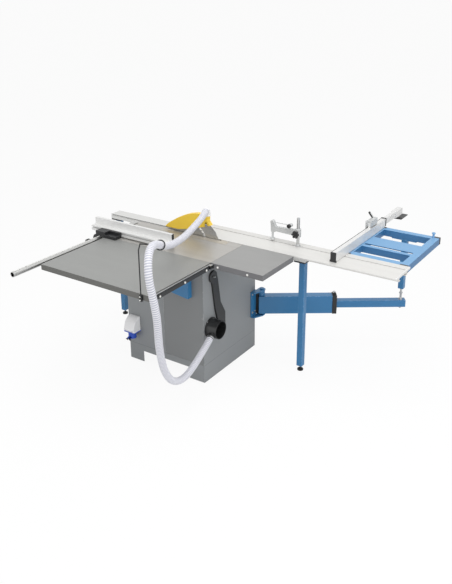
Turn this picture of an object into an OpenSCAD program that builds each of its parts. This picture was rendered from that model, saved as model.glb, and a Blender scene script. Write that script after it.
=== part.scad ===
// Sliding table saw with a tilting saw unit, a long sliding table and an outrigger.
// X runs with the feed, Y from the rip side to the sliding side, Z up from the floor.

/* [Tables] */
// Height of the working surface above the floor
table_h = 850; // [820:1:880]
// Length of the cast main table along the feed
main_l = 850; // [830:5:900]
// Width of the cast main table
main_w = 364; // [350:1:370]
// Depth of the cast table's rim
main_rim = 38; // [34:1:42]
// Width of the sheet steel rip extension
ext_w = 579; // [450:1:620]
// Depth of the folded edges of the sheet tables
sheet_edge = 37; // [30:1:40]
// Length of the outfeed table
outfeed_l = 371; // [300:1:380]

/* [Cabinet] */
// Length of the cabinet along the feed
cab_l = 626; // [610:1:640]
// Width of the cabinet
cab_w = 609; // [600:1:620]
// Gap between the cabinet and the floor
cab_gap = 8; // [6:1:12]
// Sheet thickness of the cabinet
cab_t = 2.5; // [2:0.5:3]
// Height of the plinth with its two fork slots
plinth_h = 130; // [120:1:140]

/* [Saw unit] */
// Diameter of the saw blade
blade_d = 315; // [300:1:315]
// Thickness of the saw blade's body
blade_t = 2.2; // [2:0.1:2.4]
// Diameter of the saw blade's bore and its seat
bore_d = 30; // [25:1:32]
// Depth of the arbor below the working surface
arbor_drop = 72; // [70:1:78]
// Distance from the arbor down to the motor shaft
belt_run = 178; // [170:1:185]
// Diameter of the motor body
motor_d = 140; // [120:1:144]
// Width of the blade guard
guard_w = 32; // [26:1:32]

/* [Sliding table] */
// Length of the carriage
carriage_l = 1600; // [1560:5:1640]
// Width of the carriage
carriage_w = 223; // [215:1:230]
// Thickness of the carriage deck
deck_t = 14; // [13:0.5:16]
// Length of the fixed guide beam
beam_l = 1620; // [1600:5:1660]
// Width of the fixed guide beam
beam_w = 93; // [80:1:95]
// Side of the square support legs
leg_s = 40; // [35:1:45]

/* [Outrigger] */
// Length of the outrigger frame along the feed
out_l = 422; // [400:1:440]
// Reach of the outrigger frame away from the carriage
out_w = 592; // [570:1:600]
// Width of the outrigger's tubes
out_tube = 50; // [45:1:55]
// Length of the swing arm's outer tube
arm_l = 470; // [440:1:480]
// Height of the swing arm's outer tube
arm_h = 130; // [120:1:140]

/* [Fences] */
// Length of the rip fence
rip_l = 660; // [600:5:700]
// Length of the crosscut fence
cross_l = 760; // [700:5:780]
// Height of the crosscut fence
cross_h = 60; // [50:1:70]
// Diameter of the fence rail
rail_d = 34; // [30:1:36]

/* [Extraction] */
// Outer diameter of the ribbed hose
hose_d = 44; // [40:1:46]
// Outer diameter of the extraction port
port_d = 120; // [112:1:126]

/* [Hidden] */
$fn = 48;

// Clearances: between bodies, in a running fit, in a seam, and past the carriage
gap = 0.3;
fit = 0.05;
seam = 0.5;
joint_gap = 4;

// Layout along X, with the cabinet's outfeed face at 0
cab_x0 = -cab_l;
main_x1 = 44;
main_x0 = main_x1 - main_l;
out_table_x1 = main_x1 + outfeed_l;
// Layout along Y, with the cabinet's rip side at 0
main_y0 = 24;
main_y1 = main_y0 + main_w;
ext_y0 = main_y0 - ext_w;
carriage_y0 = main_y1 + joint_gap;
carriage_y1 = carriage_y0 + carriage_w;
blade_y = main_y1 - 11;
// Layout along Z
cab_z1 = table_h - main_rim;
deck_z = table_h - deck_t;
sheet_z = table_h - sheet_edge;

// Main table and its insert
cast_t = 8;
plate_t = 12;
insert_x = [-595, -55];
insert_y0 = 325;
insert_t = 5;
ledge = 8;
slot_x = [-560, -120];
slot_y = [blade_y - 5, blade_y + 8.5];

// Sheet tables
sheet_t = 3;
lip_w = 18;
bar_x1 = main_x1 + 18;
bar_y = [-527, -15];
bar_z = [table_h - 35, table_h - 12];
bolt_r = 6.5;
bolt_h = 5;

// Cabinet openings
panel_x0 = -318;
panel_z = [plinth_h + 3, cab_z1 - 17];
fork_x = [-507, -125];
fork_z = 88;
door_y = [60, 540];
door_z = [160, 430];
door_rim = 10;
door_t = 2.5;
hinge = [cab_x0 - 6, door_y[0] - 6];
hinge_r = 2.5;
foot_inset = 32;
key_z = [table_h - 85, table_h - 132];
hook = [100, cab_z1 - 90];
lid_hinge = [-71, 204];

// Sliding table
carriage_x1 = 1080;
carriage_x0 = carriage_x1 - carriage_l;
beam_x0 = -1160;
beam_x1 = beam_x0 + beam_l;
beam_y = carriage_y0 + carriage_w / 2;
beam_y0 = beam_y - beam_w / 2;
beam_y1 = beam_y + beam_w / 2;
beam_h = 34;
roller_space = 10;
beam_z1 = deck_z - roller_space;
beam_z0 = beam_z1 - beam_h;
skirt_in = beam_w / 2 + 12;
skirt_t = 6;
skirt_z = deck_z - 20;
tongue_h = 4;
groove_z = [skirt_z - 1.5, skirt_z + tongue_h + 1.5];
groove_depth = 6;
slot_w = 8;
slot_under = 16;
slot_cy = carriage_y1 - 59;
slot_z = [table_h - 9, table_h - 4];
leg_at = [[-1125, 505], [426, 500]];
leg_plate_t = 10;
leg_z1 = beam_z0 - leg_plate_t;
leg_z0 = 35;
leg_wall = 3;
cage_x = [-380, 320];

// Saw unit: Y and Z are measured from the tilt axis at the top of the blade slot
arbor_x = -386;
arbor_z = -arbor_drop;
motor_z = arbor_z - belt_run;
frame_x = [-600, -110];
end_t = 15;
frame_y = [-74, -62];
frame_z = [-362, -20];
window_x = [-486, -286];
window_z = [-340, -38];
ring_r = [52, 74];
shoe_r = [ring_r[1] + gap, 90];
rod_r = 7;
rod_y0 = -54;
rod_at = [-536, -236];
rod_z = [-259, -91];
lug_t = 14;
lug_y = [frame_y[1] - 1, -47];
plate_y0 = -46;
plate_y1 = -34;
bush_z = [-185, -115];
housing_r = 30;
shaft_r = 12.5;
spacer_x = [-462, -310];
spacer_z = [-270, -190];
motor_plate_y = [-156, -146];
pulley_y = [-140, -115];
arbor_pulley_r = 32;
motor_pulley_r = 42;
belt_t = 4;
motor_shaft_r = 9;
motor_end_y = -346;
flange_r = 34;
flange_y = 12;
screw_x = -500;
screw_r = 7;
wheel_z = -290;
bevel = [8, 22];
wheel_shaft_r = 7.5;
wheel_slot = 12;
tilt_a = 238;
sector_r = [146, 160];
pinion_r = 8;
pinion_c = sector_r[1] + pinion_r + gap;
pinion_y = pinion_c * cos(tilt_a);
pinion_z = pinion_c * sin(tilt_a);
tilt_range = 45;
wheel_x = cab_x0 - 34;

// Guard and riving knife, in the plane of the blade
knife_t = 2.8;
knife_gap = 5;
guard_wall = 3;
guard_side = 2.5;
guard_pivot = [-225, table_h + 90];
pivot_r = 4;
ear_r = 10;
guard_top = [for (q = [[-574, 21], [-542, 50], [-502, 76], [-458, 103], [-415, 124], [-368, 143],
    [-315, 157], [-282, 159], [-258, 151], [-234, 134], [-213, 114], [-195, 91]]) q + [0, table_h]];
guard_low = [for (q = [[-243, 74], [-376, 35], [-462, 18], [-549, 18]]) q + [0, table_h]];
spigot_r = 20;
spigot_z = [table_h + 110, table_h + 152];

// Outrigger
out_x1 = carriage_x1 - 18;
out_x0 = out_x1 - out_l;
out_y0 = carriage_y1 + gap;
out_y1 = out_y0 + out_w;
out_z = [table_h - 46, table_h - 1];
out_wall = 3;
cap_t = 4;
brace_y = [790, 822];
shelf_y = [845, 985];
shelf_t = 7;

// Swing arm: the pivot stands off the cabinet's far outfeed corner
pivot = [35, cab_w + 31];
hinge_pin_r = 10;
lug_r = 26;
lug_z = [250, 442];
arm_z = 331;
arm_w = 64;
arm_t = 4;
arm_x0 = 18;
arm_x1 = arm_x0 + arm_l;
collar_l = 30;
post_s = 38;
pin_at = [832, out_y1 - out_tube / 2];
arm_a = atan2(pin_at.y - pivot.y, pin_at.x - pivot.x);
arm_reach = norm(pin_at - pivot);
inner_s = 50;
inner_x0 = 452;
post_z0 = 440;
pin_r = 7;

// Rip fence
rail_x = main_x0 - 19 - rail_d / 2;
rail_z = table_h - 10;
rail_y = [-745, 370];
rip_x0 = -969;
rip_y = 56;
rip_z0 = table_h + 8;
head_y = [-5, rip_y - 1];
head_x = [-874, -700];
head_z1 = table_h + 40;
key_w = 7.4;
key_head = 15.4;

// Crosscut fence
cross_x = out_x0 + 5;
cross_w = 33;
cross_y0 = 437;
cross_y1 = cross_y0 + cross_l;
cross_z0 = table_h + 1;
cross_z1 = cross_z0 + cross_h;
cross_t = 2.5;
cross_pivot = [cross_x + cross_w / 2, out_y0 + out_tube / 2];
cavity_z = cross_z0 + 15;
end_reach = 363;
stop_y = [964, 1060];
stop_axis = [cross_x + 16, cross_z1 + 24];
stop_pin_r = 5;

// Hold-down clamp
post_x = 352;
post_r = 10;
clamp_z = 131;
knob_z = 89;

// Extraction: the port leaves the outfeed face, and the hose runs from the guard's
// elbow over the tables, through the holder's ring and back up into the port's branch
port_y = 75;
port_z = 380;
port_l = 80;
port_t = 3.5;
hose_bore_r = 18;
hose_start = [-220, 350, table_h + 190];
start_step = [14, -42, -8];
hose_end = [52, -8, 347];
end_step = [-6, 41, 17];
hose_mid = [[-175, 190, 1010], [-155, 105, 1000], [-130, 20, 995], [-110, -70, 995],
    [-85, -155, 1005], [-65, -240, 1020], [-40, -320, 1050], [5, -385, 1080],
    [60, -455, 1120], [85, -540, 1160], [115, -620, 1160], [150, -675, 1115],
    [170, -700, 1045], [180, -695, 970], [190, -685, 885], [190, -670, 800],
    [180, -655, 715], [160, -630, 635], [140, -600, 555], [120, -565, 480],
    [105, -530, 395], [105, -480, 305], [100, -405, 255], [95, -320, 245],
    [85, -240, 262], [75, -165, 288]];
hose_route = concat([for (k = [-1:2]) hose_start + k * start_step], hose_mid,
    [for (k = [-2:1]) hose_end + k * end_step]);
hose_spans = len(hose_route) - 3;
// The guard's elbow turns from straight up to the way that the hose leaves it
elbow_r = 24;
elbow_sides = 24;
elbow_bend = acos(unit(start_step).z);
elbow_turn = atan2(start_step.y, start_step.x);
elbow_base = hose_start - seam * unit(start_step) - elbow_r * [(1 - cos(elbow_bend)) * cos(elbow_turn),
    (1 - cos(elbow_bend)) * sin(elbow_turn), sin(elbow_bend)];
hose_ribs = 195;
rib_depth = 1.4;
hose_sides = 8;
bore_rings = 62;
holder = [-10, ext_y0 - 7];
holder_r = 3.5;
ring_at = 11;

// The model stands centred on its own footprint
mid_x = (beam_x0 + carriage_x1) / 2;
mid_y = (rail_y[0] + cross_y1 + end_reach) / 2;

// Helpers: boxes by their ranges, rods along an axis, plates by their outline
module place() {
    translate([-mid_x, -mid_y, 0]) children();
}

module block(x, y, z) {
    translate([x[0], y[0], z[0]]) cube([x[1] - x[0], y[1] - y[0], z[1] - z[0]]);
}

module rod_x(p, r, l) {
    translate(p) rotate([0, 90, 0]) cylinder(r = r, h = l);
}

module rod_y(p, r, l) {
    translate(p) rotate([-90, 0, 0]) cylinder(r = r, h = l);
}

module rod_z(p, r, l) {
    translate(p) cylinder(r = r, h = l);
}

module bar(a, b, r) {
    d = b - a;
    translate(a) rotate([0, acos(d.z / norm(d)), atan2(d.y, d.x)]) cylinder(r = r, h = norm(d));
}

module plate_x(x, t) {
    translate([x, 0, 0]) rotate([90, 0, 90]) linear_extrude(t) children();
}

module plate_y(y, t) {
    translate([0, y + t, 0]) rotate([90, 0, 0]) linear_extrude(t) children();
}

module sector(r, a) {
    reach = 2 * r[1];
    step = (a[1] - a[0]) / 4;
    intersection() {
        difference() {
            circle(r[1], $fn = 96);
            circle(r[0], $fn = 96);
        }
        polygon(concat([[0, 0]], [for (k = [0:4]) reach * [cos(a[0] + k * step), sin(a[0] + k * step)]]));
    }
}

module saw_frame() {
    translate([0, blade_y, table_h]) children();
}

module tray(x, y) {
    difference() {
        block(x, y, [sheet_z, table_h]);
        block([x[0] + sheet_t, x[1] - sheet_t], [y[0] + sheet_t, y[1] - sheet_t],
            [sheet_z + sheet_t, table_h - sheet_t]);
        block([x[0] + lip_w, x[1] - lip_w], [y[0] + lip_w, y[1] - lip_w],
            [sheet_z - 1, sheet_z + sheet_t + 1]);
    }
}

// Fixed machine
module cabinet() {
    walls = [[0, cab_gap], [cab_w, cab_gap], [cab_w, beam_z0], [main_y1, beam_z0],
        [main_y1, cab_z1], [0, cab_z1]];
    room = [[cab_t, plinth_h + cab_t], [cab_w - cab_t, plinth_h + cab_t],
        [cab_w - cab_t, beam_z0 - cab_t], [main_y1 - cab_t, beam_z0 - cab_t],
        [main_y1 - cab_t, cab_z1 + 1], [cab_t, cab_z1 + 1]];
    wheel_r = norm([rod_y0, wheel_z]);
    wheel_a = atan2(wheel_z, rod_y0) + 360;
    color("slategray") place() {
        difference() {
            plate_x(cab_x0, cab_l) polygon(walls);
            plate_x(cab_x0 + cab_t, cab_l - 2 * cab_t) polygon(room);
            block([cab_x0 + cab_t, -cab_t], [cab_t, cab_w - cab_t], [cab_gap - 1, plinth_h]);
            block(fork_x, [-1, cab_w + 1], [cab_gap - 1, fork_z]);
            block([panel_x0, -cab_t], [-1, cab_t + 1], panel_z);
            block([frame_x[0] - 8, insert_x[1]], [main_y1 - cab_t - 1, blade_y + 98],
                [beam_z0 - cab_t - 1, cab_z1 + 1]);
            block([cab_x0 - 1, cab_x0 + cab_t + 1], [door_y[0] + door_rim, door_y[1] - door_rim],
                [door_z[0] + door_rim, door_z[1] - door_rim]);
            plate_x(cab_x0 - 1, cab_t + 2) translate([blade_y, table_h])
                sector([wheel_r - wheel_slot, wheel_r + wheel_slot],
                    [wheel_a - 3, wheel_a + tilt_range + 3]);
            rod_x([cab_x0 - 1, blade_y + pinion_y, table_h + pinion_z], pinion_r - 1 + fit, cab_t + 2);
            rod_x([-cab_t - 1, port_y, port_z], port_d / 2 - port_t, cab_t + 2);
        }
        // Flanges that carry the main table
        block([cab_x0 + cab_t, -cab_t], [cab_t, 40], [cab_z1 - cab_t, cab_z1]);
        block([cab_x0 + cab_t, cab_x0 + 22], [40, main_y1 - cab_t], [cab_z1 - cab_t, cab_z1]);
        block([-40, -cab_t], [40, main_y1 - cab_t], [cab_z1 - cab_t, cab_z1]);
        // Lip behind the side panel
        difference() {
            block([panel_x0 - 8, -cab_t], [cab_t, 2 * cab_t], [panel_z[0] - 0.5, panel_z[1] + 8]);
            block([panel_x0 + 12, -14], [cab_t - 1, 2 * cab_t + 1], [panel_z[0] + 12, panel_z[1] - 12]);
        }
        // Corner gussets over the feet
        for (x = [cab_x0 + cab_t, -cab_t - 60], y = [cab_t, cab_w - cab_t - 60])
            difference() {
                block([x, x + 60], [y, y + 60], [cab_gap, cab_gap + 5]);
                for (fx = [cab_x0 + foot_inset, -foot_inset], fy = [foot_inset, cab_w - foot_inset])
                    rod_z([fx, fy, cab_gap - 1], 5 + fit, 7);
            }
        // Hook for the push stick
        rod_x([0, hook.x, hook.y], 5, 24);
        // Hinge pin of the service door, held by two lugs
        rod_z([hinge.x, hinge.y, door_z[0] + 4], hinge_r, door_z[1] - door_z[0] - 8);
        for (z = [door_z[0] + 4, door_z[1] - 9])
            block([hinge.x - 4, cab_x0], [hinge.y - 4, hinge.y + 4], [z, z + 5]);
    }
}

module side_panel() {
    x = [panel_x0 + seam, -cab_t - seam];
    z = [panel_z[0] + seam, panel_z[1] - seam];
    color("dimgray") place() {
        block(x, [0, cab_t], z);
        for (sx = [x[0] + 8, x[1] - 8], sz = [z[0] + 10, (z[0] + z[1]) / 2, z[1] - 10])
            rod_y([sx, -2, sz], 4, 2);
    }
}

module levelling_feet() {
    color("black") place() {
        for (x = [cab_x0 + foot_inset, -foot_inset], y = [foot_inset, cab_w - foot_inset]) {
            rod_z([x, y, 0], 15, cab_gap - gap);
            rod_z([x, y, 1], 5, cab_gap + 9);
        }
        for (p = leg_at) {
            rod_z([p.x, p.y, 0], 20, 10);
            rod_z([p.x, p.y, 1], 6, leg_z0 + 14);
        }
    }
}

module main_table() {
    color("silver") place() difference() {
        union() {
            difference() {
                block([main_x0, main_x1], [main_y0, main_y1], [cab_z1, table_h]);
                block([main_x0 + cast_t, main_x1 - cast_t], [main_y0 + cast_t, main_y1 - cast_t],
                    [cab_z1 - 1, table_h - plate_t]);
            }
            for (x = [cab_x0 + 6, -30])
                block([x, x + plate_t], [main_y0 + 1, main_y1 - 1], [cab_z1, table_h - 1]);
        }
        block([insert_x[0] + ledge, insert_x[1] - ledge], [insert_y0 + ledge, main_y1 + 1],
            [cab_z1 - 1, table_h + 1]);
        block(insert_x, [insert_y0, main_y1 + 1], [table_h - insert_t, table_h + 1]);
    }
}

module table_insert() {
    color("gainsboro") place() difference() {
        block([insert_x[0] + seam, insert_x[1] - seam], [insert_y0 + seam, main_y1],
            [table_h - insert_t, table_h]);
        block(slot_x, slot_y, [table_h - insert_t - 1, table_h + 1]);
    }
}

module extension_table() {
    color("gray") place() tray([main_x0, main_x1], [ext_y0, main_y0 - seam]);
}

module extension_brackets() {
    drop = [[0, table_h - 233], [150, table_h - 254], [168, table_h - 254],
        [168, table_h - sheet_t], [0, table_h - sheet_t]];
    color("steelblue") place() for (x = [-560, -255]) difference() {
        plate_y(-38, 38) translate([x, 0]) polygon(drop);
        block([x + cab_t, x + 168 - cab_t], [-38 + cab_t, 1], [table_h - 350, table_h - sheet_t - cab_t]);
    }
}

module outfeed_table() {
    color("gray") place() tray([main_x1 + seam, out_table_x1], [main_y0, main_y1]);
}

module edge_rail() {
    color("black") place() {
        block([main_x1, bar_x1], bar_y, bar_z);
        block([main_x1, bar_x1 - 4], bar_y, [bar_z[1], bar_z[1] + 7]);
        block([main_x1, bar_x1 + 8], [bar_y[1] + 3, main_y0 - 4], [bar_z[0] + 7, bar_z[1] + 7]);
    }
}

module table_bolts() {
    color("white") place() {
        for (x = [97, 308]) rod_y([x, main_y0 - bolt_h, table_h - 20], bolt_r, bolt_h);
        for (y = [-485, -258, -45])
            rod_x([bar_x1, y, (bar_z[0] + bar_z[1]) / 2], bolt_r, bolt_h);
    }
}

module fence_rail() {
    color("silver") place() difference() {
        rod_y([rail_x, rail_y[0], rail_z], rail_d / 2, rail_y[1] - rail_y[0]);
        rod_y([rail_x, rail_y[0] - 1, rail_z], rail_d / 2 - 3, rail_y[1] - rail_y[0] + 2);
    }
}

module rail_brackets() {
    color("dimgray") place() for (y = [-500, -270, -40, 160, 350]) difference() {
        rod_x([rail_x, y, rail_z - 6], 8, main_x0 - rail_x);
        rod_y([rail_x, y - 10, rail_z], rail_d / 2, 20);
    }
}

module hose_holder() {
    rod_top = [holder.x, holder.y, 1110];
    bend = [holder.x + 12, holder.y + 2, 1148];
    centre = spline(ring_at, 0);
    along = unit(spline_way(ring_at, 0));
    ring_r = hose_d / 2 + holder_r + 1;
    side = unit((bend - centre) - ((bend - centre) * along) * along);
    color("black") place() {
        rod_z([holder.x, holder.y, table_h - 44], holder_r, rod_top.z - table_h + 44);
        bar(rod_top, bend, holder_r);
        bar(bend, centre + ring_r * side, holder_r);
        for (p = [rod_top, bend]) translate(p) sphere(holder_r + 0.5);
        translate(centre) rotate([0, acos(along.z), atan2(along.y, along.x)])
            rotate_extrude() translate([ring_r, 0]) circle(holder_r, $fn = 24);
        block([holder.x - 9, holder.x + 9], [holder.y - 5, ext_y0], [table_h - 41, table_h - 4]);
        for (z = [table_h - 32, table_h - 12]) rod_y([holder.x, holder.y - 9, z], 4.5, 4);
    }
}

module dust_port() {
    joint_p = hose_end + end_step * (port_y - hose_end.y) / end_step.y;
    color("black") place() difference() {
        union() {
            rod_x([0, port_y, port_z], port_d / 2, port_l);
            rod_x([0, port_y, port_z], port_d / 2 + 8, 4);
            bar(joint_p, hose_end, hose_d / 2);
        }
        rod_x([-1, port_y, port_z], port_d / 2 - port_t, port_l + 2);
        bar(joint_p, hose_end - end_step / 9, hose_bore_r);
    }
}

module dust_duct() {
    duct_r = port_d / 2 - port_t;
    box_x = [-300, -130];
    box_y = [port_y - 63, port_y + 75];
    box_z = [port_z - 70, port_z + 85];
    color("dimgray") place() {
        difference() {
            rod_x([box_x[1], port_y, port_z], duct_r, -cab_t - box_x[1]);
            rod_x([box_x[1] - 1, port_y, port_z], duct_r - cab_t, 200);
        }
        difference() {
            block(box_x, box_y, box_z);
            block([box_x[0] + cab_t, box_x[1] - cab_t], [box_y[0] + cab_t, box_y[1] - cab_t],
                [box_z[0] + cab_t, box_z[1] + 1]);
            rod_x([box_x[1] - 5, port_y, port_z], duct_r - cab_t, 10);
        }
    }
}

module inlet_box() {
    color("white") place() difference() {
        plate_x(-610, 85) polygon([[0, 245], [-66, 245], [-76, 262], [-58, 312], [-30, 340], [0, 345]]);
        block([-607, -528], [-62, -3], [244, 300]);
    }
}

module inlet_socket() {
    color("royalblue") place() {
        block([-612, -523], [-70, -1], [239, 245]);
        difference() {
            rod_z([-568, -38, 200], 27, 39);
            rod_z([-568, -38, 199], 23, 36);
        }
        for (a = [0, 120, 240])
            rod_z([-568 + 13 * cos(a), -38 + 13 * sin(a), 210], 2.5, 30);
        rod_x([-583, lid_hinge.x, lid_hinge.y], 2, 30);
        for (x = [-583, -556]) block([x, x + 3], [lid_hinge.x - 2, -60], [202, 206]);
    }
}

module inlet_lid() {
    color("royalblue") place() difference() {
        union() {
            rod_z([-568, -38, 195], 28, 4.7);
            block([-578, -558], [lid_hinge.x - 2, -60], [195, 199.7]);
            rod_x([-578, lid_hinge.x, lid_hinge.y], 5, 20);
            block([-578, -558], [lid_hinge.x - 5, lid_hinge.x], [195, lid_hinge.y]);
        }
        rod_x([-580, lid_hinge.x, lid_hinge.y], 2 + fit, 26);
        block([-590, -540], [-66, -20], [199.7, 212]);
    }
}

module push_stick() {
    handle = [[-40, 0], [-13, -50], [-2, -115], [17, -233], [34, -297], [46, -337], [46, -381],
        [127, -381], [127, -288], [76, -197], [65, -126], [49, -32], [40, 0]];
    color("black") place() plate_x(gap, 12) translate(hook) difference() {
        union() {
            polygon(handle);
            circle(40);
        }
        circle(5 + gap);
    }
}

module guide_beam() {
    color("gainsboro") place() difference() {
        block([beam_x0, beam_x1], [beam_y0, beam_y1], [beam_z0, beam_z1]);
        block([beam_x0 - 1, beam_x1 + 1], [beam_y0 - 1, beam_y0 + groove_depth], groove_z);
        block([beam_x0 - 1, beam_x1 + 1], [beam_y1 - groove_depth, beam_y1 + 1], groove_z);
        block([beam_x0 - 1, beam_x1 + 1], [beam_y0 + 12, beam_y1 - 12], [beam_z0 + 6, beam_z1 - 6]);
    }
}

module support_legs() {
    half = leg_s / 2;
    color("steelblue") place() for (p = leg_at) {
        block([max(p.x - 47, beam_x0), min(p.x + 47, beam_x1)], [beam_y0, beam_y1], [leg_z1, beam_z0]);
        difference() {
            block([p.x - half, p.x + half], [p.y - half, p.y + half], [leg_z0, leg_z1]);
            block([p.x - half + leg_wall, p.x + half - leg_wall],
                [p.y - half + leg_wall, p.y + half - leg_wall], [leg_z0 + 5, leg_z1 + 1]);
            rod_z([p.x, p.y, leg_z0 - 1], 6 + fit, 8);
        }
    }
}

module arm_bracket() {
    lug = [[0, cab_w - 60], [30, cab_w - 60], [pivot.x + lug_r, pivot.y - 25], [pivot.x + lug_r, pivot.y],
        [pivot.x - lug_r, pivot.y], [pivot.x - lug_r, cab_w], [0, cab_w]];
    color("steelblue") place() {
        block([0, 8], [cab_w - 60, cab_w], lug_z);
        for (z = [lug_z[0], lug_z[1] - 8]) translate([0, 0, z]) linear_extrude(8) {
            polygon(lug);
            translate(pivot) circle(lug_r);
        }
        rod_z([pivot.x, pivot.y, lug_z[0] - 8], hinge_pin_r, lug_z[1] - lug_z[0] + 16);
        rod_z([pivot.x, pivot.y, lug_z[1]], hinge_pin_r + 5, 8);
    }
}

module trunnions() {
    color("gray") place() for (x = [frame_x[0], frame_x[1] - end_t])
        plate_x(x + gap, end_t - 2 * gap) translate([blade_y, table_h]) {
            sector(ring_r, [200, 310]);
            translate([-69, -26]) square([44, 26 - plate_t]);
        }
}

module switch_box() {
    color("black") place() difference() {
        block([cab_x0 - 42, cab_x0], [40, 120], [key_z[1] - 38, key_z[0] + 25]);
        for (z = key_z) rod_x([cab_x0 - 43, 80, z], 12 + gap, 20);
    }
}

module start_button() {
    color("green") place() rod_x([cab_x0 - 48, 80, key_z[0]], 12, 20);
}

module stop_button() {
    color("red") place() {
        rod_x([cab_x0 - 56, 80, key_z[1]], 19, 9);
        rod_x([cab_x0 - 50, 80, key_z[1]], 12, 22);
    }
}

module service_door() {
    leaf_x = [cab_x0 - door_t - gap, cab_x0 - gap];
    color("slategray") place() {
        difference() {
            block(leaf_x, [hinge.y + hinge_r + 4, door_y[1]], door_z);
            for (z = [200:25:375]) block([leaf_x[0] - 1, leaf_x[1] + 1], [220, 400], [z, z + 7]);
        }
        difference() {
            union() {
                for (z = [door_z[0] + 30, door_z[1] - 70]) {
                    rod_z([hinge.x, hinge.y, z], hinge_r + 2.5, 40);
                    block([hinge.x - 1, leaf_x[1]], [hinge.y, hinge.y + 12], [z, z + 40]);
                }
            }
            rod_z([hinge.x, hinge.y, door_z[0]], hinge_r + fit, door_z[1] - door_z[0]);
        }
        rod_x([leaf_x[0] - 16, door_y[1] - 25, 295], 12, 16);
    }
}

// Saw unit: the cradle tilts in the trunnions, and the arbor slide rises in the cradle
module tilt_cradle() {
    shaft_hole = [rod_y0, wheel_z];
    color("slategray") place() saw_frame() {
        for (x = [frame_x[0], frame_x[1] - end_t]) difference() {
            plate_x(x, end_t) {
                sector(shoe_r, [200, 265]);
                polygon([[-84, -31], [-64, -68], [frame_y[1], -70], [frame_y[1], frame_z[0]],
                    [frame_y[0], frame_z[0]], [frame_y[0], -60]]);
                if (x == frame_x[0]) {
                    sector(sector_r, [tilt_a - tilt_range - 3, tilt_a + 5]);
                    translate(shaft_hole) circle(wheel_shaft_r + 8);
                }
            }
            if (x == frame_x[0]) rod_x([x - 1, shaft_hole.x, shaft_hole.y], wheel_shaft_r + fit, end_t + 2);
        }
        difference() {
            block([frame_x[0] + end_t, frame_x[1] - end_t], frame_y, frame_z);
            block(window_x, [frame_y[0] - 1, frame_y[1] + 1], window_z);
            block([screw_x - bevel[1] - 4, screw_x + bevel[1] + 2], [frame_y[0] - 1, frame_y[1] + 1],
                [wheel_z - bevel[1] - 2, wheel_z + bevel[1] + 2]);
        }
        for (x = [[-556, -484], [-256, -216]], z = rod_z) difference() {
            block(x, lug_y, [z - (z == rod_z[1] ? lug_t : 0), z + (z == rod_z[0] ? lug_t : 0)]);
            rod_z([screw_x, rod_y0, z - 20], screw_r + fit, 40);
        }
        for (x = rod_at) rod_z([x, rod_y0, rod_z[0] + 1], rod_r, rod_z[1] - rod_z[0] - 2);
    }
}

module arbor_slide() {
    color("gray") place() saw_frame() {
        difference() {
            union() {
                block([rod_at[0] - 20, rod_at[1] + 20], [plate_y0, plate_y1], [-200, -44]);
                block([spacer_x[0] - 14, spacer_x[1] + 14], [plate_y0, plate_y1], [-286, -199]);
                rod_y([arbor_x, -110, arbor_z], housing_r, 97);
                for (x = rod_at) block([x - 14, x + 14], [frame_y[1] + gap, plate_y1], bush_z);
                block([screw_x - 12, screw_x + 12], [frame_y[1] + gap, plate_y1], [-160, -140]);
                // Arm that carries the riving knife behind the blade
                block([rod_at[1] + 15, -185], [plate_y0, plate_y1], [-110, -60]);
                block([-219, -185], [plate_y1 - 1, -knife_t / 2], [-110, -66]);
            }
            rod_y([arbor_x, -111, arbor_z], shaft_r + fit, 100);
            for (x = rod_at) rod_z([x, rod_y0, bush_z[0] - 1], rod_r + fit, 100);
            rod_z([screw_x, rod_y0, -170], screw_r + fit, 40);
        }
        for (x = spacer_x, z = spacer_z)
            rod_y([x, motor_plate_y[1], z], 8, plate_y0 - motor_plate_y[1]);
        difference() {
            block([spacer_x[0] - 14, spacer_x[1] + 14], motor_plate_y, [-320, -176]);
            rod_y([arbor_x, motor_plate_y[0] - 1, motor_z], motor_shaft_r + 3, 20);
        }
    }
}

module motor() {
    color("steelblue") place() saw_frame() {
        rod_y([arbor_x, motor_end_y, motor_z], motor_d / 2, motor_plate_y[0] - motor_end_y);
        rod_y([arbor_x, motor_plate_y[0] - 1, motor_z], motor_shaft_r, pulley_y[1] - motor_plate_y[0] + 4);
    }
}

module motor_pulley() {
    color("silver") place() saw_frame() difference() {
        rod_y([arbor_x, pulley_y[0], motor_z], motor_pulley_r, pulley_y[1] - pulley_y[0]);
        rod_y([arbor_x, pulley_y[0] - 1, motor_z], motor_shaft_r + fit, 40);
    }
}

module drive_belt() {
    color("black") place() saw_frame()
        plate_y(pulley_y[0] + 3, pulley_y[1] - pulley_y[0] - 6) difference() {
            hull() {
                translate([arbor_x, arbor_z]) circle(arbor_pulley_r + gap + belt_t, $fn = 32);
                translate([arbor_x, motor_z]) circle(motor_pulley_r + gap + belt_t, $fn = 32);
            }
            hull() {
                translate([arbor_x, arbor_z]) circle(arbor_pulley_r + 2 * gap, $fn = 32);
                translate([arbor_x, motor_z]) circle(motor_pulley_r + 2 * gap, $fn = 32);
            }
        }
}

module riving_knife() {
    c = [arbor_x, table_h + arbor_z];
    front_r = blade_d / 2 + knife_gap;
    front = [for (a = [-8:7:55]) c + front_r * [cos(a), sin(a)]];
    ear = [for (a = [200:-20:-20]) guard_pivot + ear_r * [cos(a), sin(a)]];
    back = [for (q = [[-203, 88], [-163, 50], [-136, -4], [-142, -38], [-168, -78], [-188, -108],
        [-219, -110]]) q + [0, table_h]];
    color("silver") place() plate_y(blade_y - knife_t / 2, knife_t) difference() {
        polygon(concat(front, [[-250, table_h + 82]], ear, back));
        translate(guard_pivot) circle(pivot_r + fit);
    }
}

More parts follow.
